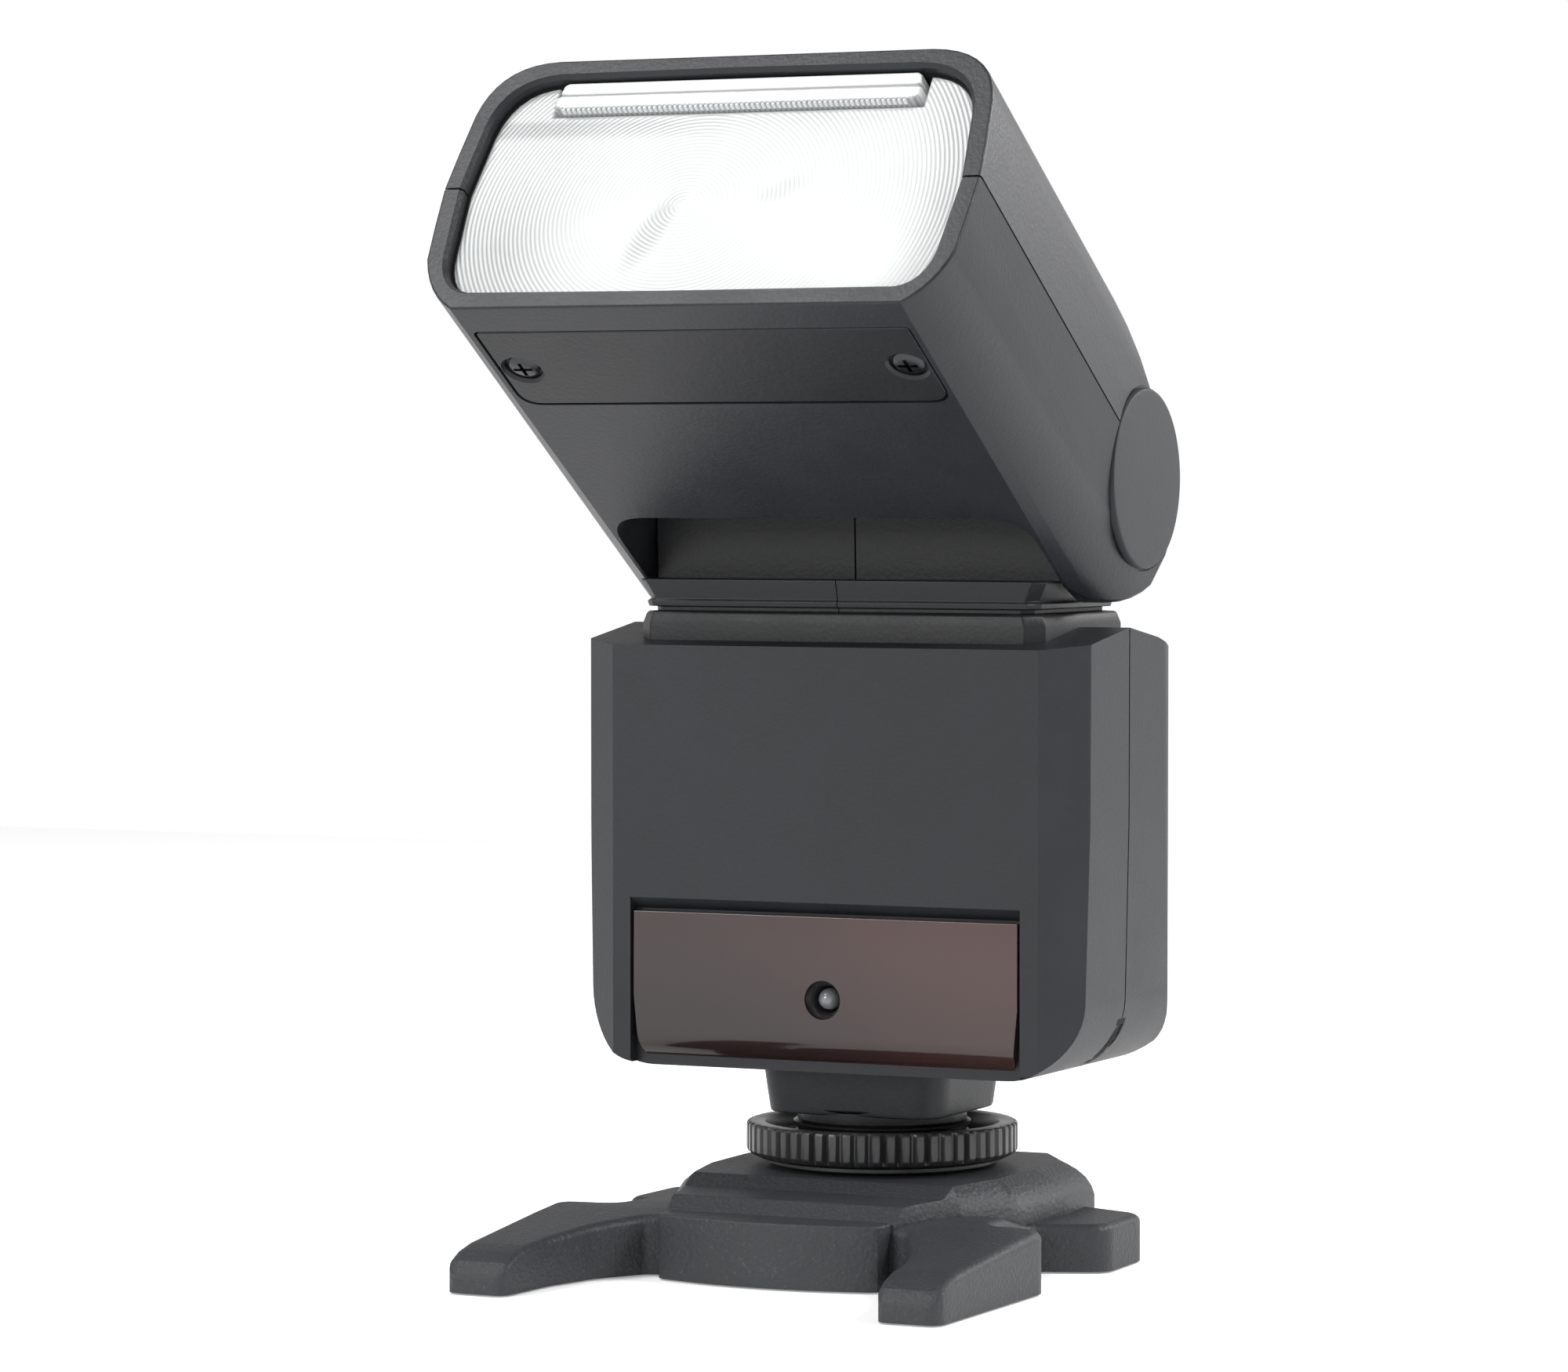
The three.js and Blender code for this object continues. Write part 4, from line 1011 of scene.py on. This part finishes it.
def add_label_plate():
    corners = [(-25.65, -52.25, 0.6), (25.65, -52.25, 0.6), (25.65, -38.45, 2.4), (-25.65, -38.45, 2.4)]
    plate = cushion_edge(fillet(corners, 6), LOW + 0.72, LOW + 0.02, "z", 0.2, 3)
    well = [(0, -16), (2.5, -16), (2.5, LOW), (2.15, LOW + 0.35), (2.15, -14), (0, -14)]
    wells = [turned(well, 40, "z", (x, SCREW_Y)) for x in (-SCREW_X, SCREW_X)]
    add_piece("label_plate_moulding", cut(plate, *wells), "label", "head", HEAD,
              ["label_plate"])


def add_label_screws():
    profile = [(0.0, LOW + 0.08), (1.1, LOW + 0.1), (1.6, LOW + 0.25), (1.85, LOW + 0.5), (1.85, LOW + 0.9),
               (0.8, LOW + 0.95), (0.8, -13.0), (0.0, -13.0)]
    arm, half_width = 1.15, 0.22
    for x, side in ((-SCREW_X, "right"), (SCREW_X, "left")):
        slots = [block(x - u, x + u, SCREW_Y - v, SCREW_Y + v, -16, LOW + 0.55)
                 for u, v in ((arm, half_width), (half_width, arm))]
        screw = cut(turned(profile, 40, "z", (x, SCREW_Y)), *slots)
        add_piece(f"label_screw_{side}", screw, "screw", "head", HEAD, [f"head_screw_{side}"])


def add_hinge_covers():
    profile = [(0.0, 31.2), (10.2, 31.2), (10.2, 31.75), (10.05, 31.98), (9.7, 32.06), (6.0, 32.14),
               (0.0, 32.17)]
    for side, name in ((1, "left"), (-1, "right")):
        cover = turned(profile, 128, "x")
        if side < 0:
            flipped(cover)
        add_piece(f"hinge_disc_{name}", cover, "cover", "head", HEAD,
                  [f"hinge_cover_{name}"], 40)


LENS_FRONT, LIP_FRONT = 55.3, 56.3


def lens_outline():
    """The opening's outline less a step at the top, where the two slide-out sheets pass."""
    half = [(0.0, -12.85), (25.2, -12.75)] + bend((25.2, -12.75), (28.2, -12.2), (28.9, -8.2), 6)
    half += [(29.5, PART_T), (28.7, 9.0)] + bend((28.7, 9.0), (27.8, 14.2), (23.2, 15.2), 6)
    return mirrored(half + [(22.3, 15.3), (22.2, 11.35), (0.0, 11.35)])


def add_lens():
    lens = cushion_edge(lens_outline(), -51.6, -LENS_FRONT, "y", 0.25, 3)
    add_piece("lens_plate", lens, "lens", "head", HEAD, ["fresnel_lens"], 40)
    # painted shade: a black ring round the lens stands in for the shade on the rim's inner wall
    outer, inner = grown(mirrored(cavity_section()), 0.05), grown(mirrored(cavity_section()), -0.28)
    rim_shade_ring = cut(prism(outer, -50.0, -55.5, "y"), prism(inner, -40.0, -60.0, "y"))
    add_piece("lens_rim_shade_ring", rim_shade_ring, "dark", "head", HEAD)


def add_wide_panel():
    ends = mirrored([(20.9, 11.6), (21.9, 12.0), (21.9, 13.2), (21.4, 13.6)])
    lip = cushion_edge(ends, -50.2, -LIP_FRONT, "y", 0.3, 3)
    sheet = block(-21.6, 21.6, -50.4, -17.6, 11.75, 12.95)
    tip = -LIP_FRONT
    bead = [(0.0, tip - 0.12), (0.2, tip - 0.08), (0.3, tip + 0.1), (0.3, tip + 0.6), (0.0, tip + 0.6)]
    beads = [turned(bead, 10, "y", (-20.6 + BEAD_STEP * k, 11.62)) for k in range(67)]
    add_piece("wide_panel_moulding", merged(lip, sheet, *beads), "panel", "wide_panel",
              HEAD, ["wide_panel"], 40)


def add_card():
    ends = mirrored([(20.9, 13.75), (21.7, 14.0), (21.5, 15.0), (21.0, 15.35)])
    lip = cushion_edge(ends, -52.4, -LIP_FRONT + 0.2, "y", 0.25, 3)
    sheet = block(-21, 21, -52.6, -18.4, 13.5, 14.05)
    add_piece("catchlight_card_sheet", merged(lip, sheet), "card", "catchlight_card",
              HEAD, ["catchlight_card"], 40)


# ------ CAD pieces that keep their shape
KEPT = {
    "brass": ["tripod_thread_insert"],
    "gold": ["contact_pin_centre", "contact_pin_front_left", "contact_pin_front_right",
             "contact_pin_rear_left", "contact_pin_rear_right"],
    "steel": ["locking_pin", "door_hinge_pin", "tilt_shaft", "guide_rod_left", "guide_rod_right",
              "lead_screw"],
    "nickel": ["door_contact", "battery_terminal_1", "battery_terminal_2", "zoom_motor"],
    "cell": ["aa_cell_1", "aa_cell_2"],
    "board": ["main_board", "head_board"],
    "core": ["charging_transformer"],
    "neck": ["swivel_tube"],
    "reflector": ["reflector"],
    "tube": ["flash_tube"],
    "carriage": ["zoom_carriage"],
    "sleeve": ["main_capacitor"],
}


def dress_kept_pieces():
    for finish, names in KEPT.items():
        for name in names:
            obj = frame["nodes"][name]
            if not obj.material_slots:
                obj.data.materials.append(FINISH[finish])
            for slot in obj.material_slots:
                slot.material = FINISH[finish]


# ------ floor, light and camera
def add_floor():
    bpy.ops.mesh.primitive_plane_add(size=1.3, location=(0, 0, -0.0002))
    floor = bpy.context.object
    floor.name = "studio_floor"
    paper = Paint("studio_paper", Emission_Color=(1, 1, 1, 1), Emission_Strength=0.30)
    cloud = paper.noise(3.0, 2.0)
    paper.set("Base Color", paper.mix(cloud, (0.93, 0.93, 0.93), (0.95, 0.95, 0.95)))
    paper.set("Roughness", 0.9)
    floor.data.materials.append(paper.material)


def add_surroundings():
    """A white horizon that dims towards the zenith."""
    world = bpy.data.worlds.new("studio")
    bpy.context.scene.world = world
    world.use_nodes = True
    tree = world.node_tree
    backdrop = tree.nodes["Background"]
    backdrop.inputs["Strength"].default_value = 1.0
    place = tree.nodes.new("ShaderNodeTexCoord")
    height = tree.nodes.new("ShaderNodeSeparateXYZ")
    fade = tree.nodes.new("ShaderNodeValToRGB")
    for element, (position, grey) in zip(fade.color_ramp.elements, ((0.12, 1.0), (0.50, 0.32))):
        element.position, element.color = position, (grey, grey, grey, 1)
    tree.links.new(place.outputs["Generated"], height.inputs[0])
    tree.links.new(height.outputs["Z"], fade.inputs["Fac"])
    tree.links.new(fade.outputs["Color"], backdrop.inputs["Color"])


def add_lamps():
    """Soft square lamps, as (name, place, size, power), all turned to the middle of the flash."""
    lights = [("key", (-0.44, -0.44, 0.84), 0.36, 4.8), ("front", (-0.40, -0.90, 0.36), 0.34, 3.0),
              ("side", (0.50, 0.06, 0.46), 0.22, 3.0), ("back right", (0.30, 0.46, 0.30), 0.20, 1.2),
              ("top", (0.05, 0.2, 1.1), 0.5, 2.0)]
    for name, place, size, power in lights:
        data = bpy.data.lights.new(name, "AREA")
        data.size, data.energy = size, power
        lamp = bpy.data.objects.new(name, data)
        lamp.location = place
        lamp.rotation_euler = (Vector((0, 0, 0.07)) - Vector(place)).to_track_quat("-Z", "Y").to_euler()
        bpy.context.collection.objects.link(lamp)


AZIMUTH, ELEVATION, DISTANCE, LENS = 25.3, 2.1, 659.4, 130.9
TARGET = Vector((-12.5, AXIS_Y, 64.9))


def add_camera():
    a, e = math.radians(AZIMUTH), math.radians(ELEVATION)
    back = Vector((math.sin(a) * math.cos(e), -math.cos(a) * math.cos(e), math.sin(e)))
    data = bpy.data.cameras.new("camera")
    data.lens = LENS
    camera = bpy.data.objects.new("camera", data)
    camera.location = (TARGET + back * DISTANCE) * MM
    camera.rotation_mode = "QUATERNION"
    camera.rotation_quaternion = (-back).to_track_quat("-Z", "Y")
    data.clip_start, data.clip_end = 0.01, 20
    bpy.context.collection.objects.link(camera)
    bpy.context.scene.camera = camera


bpy.context.scene.view_settings.view_transform = "Standard"
add_camera()
add_floor()
add_surroundings()
add_lamps()
add_stand()
add_lock_ring()
add_collar()
add_foot_block()
add_foot_plate()
add_washer()
add_case()
add_window()
add_sensor()
add_display()
add_buttons()
add_dial()
add_power_switch()
add_battery_door()
add_neck()
add_head_shells()
add_label_plate()
add_label_screws()
add_hinge_covers()
add_lens()
add_wide_panel()
add_card()
dress_kept_pieces()
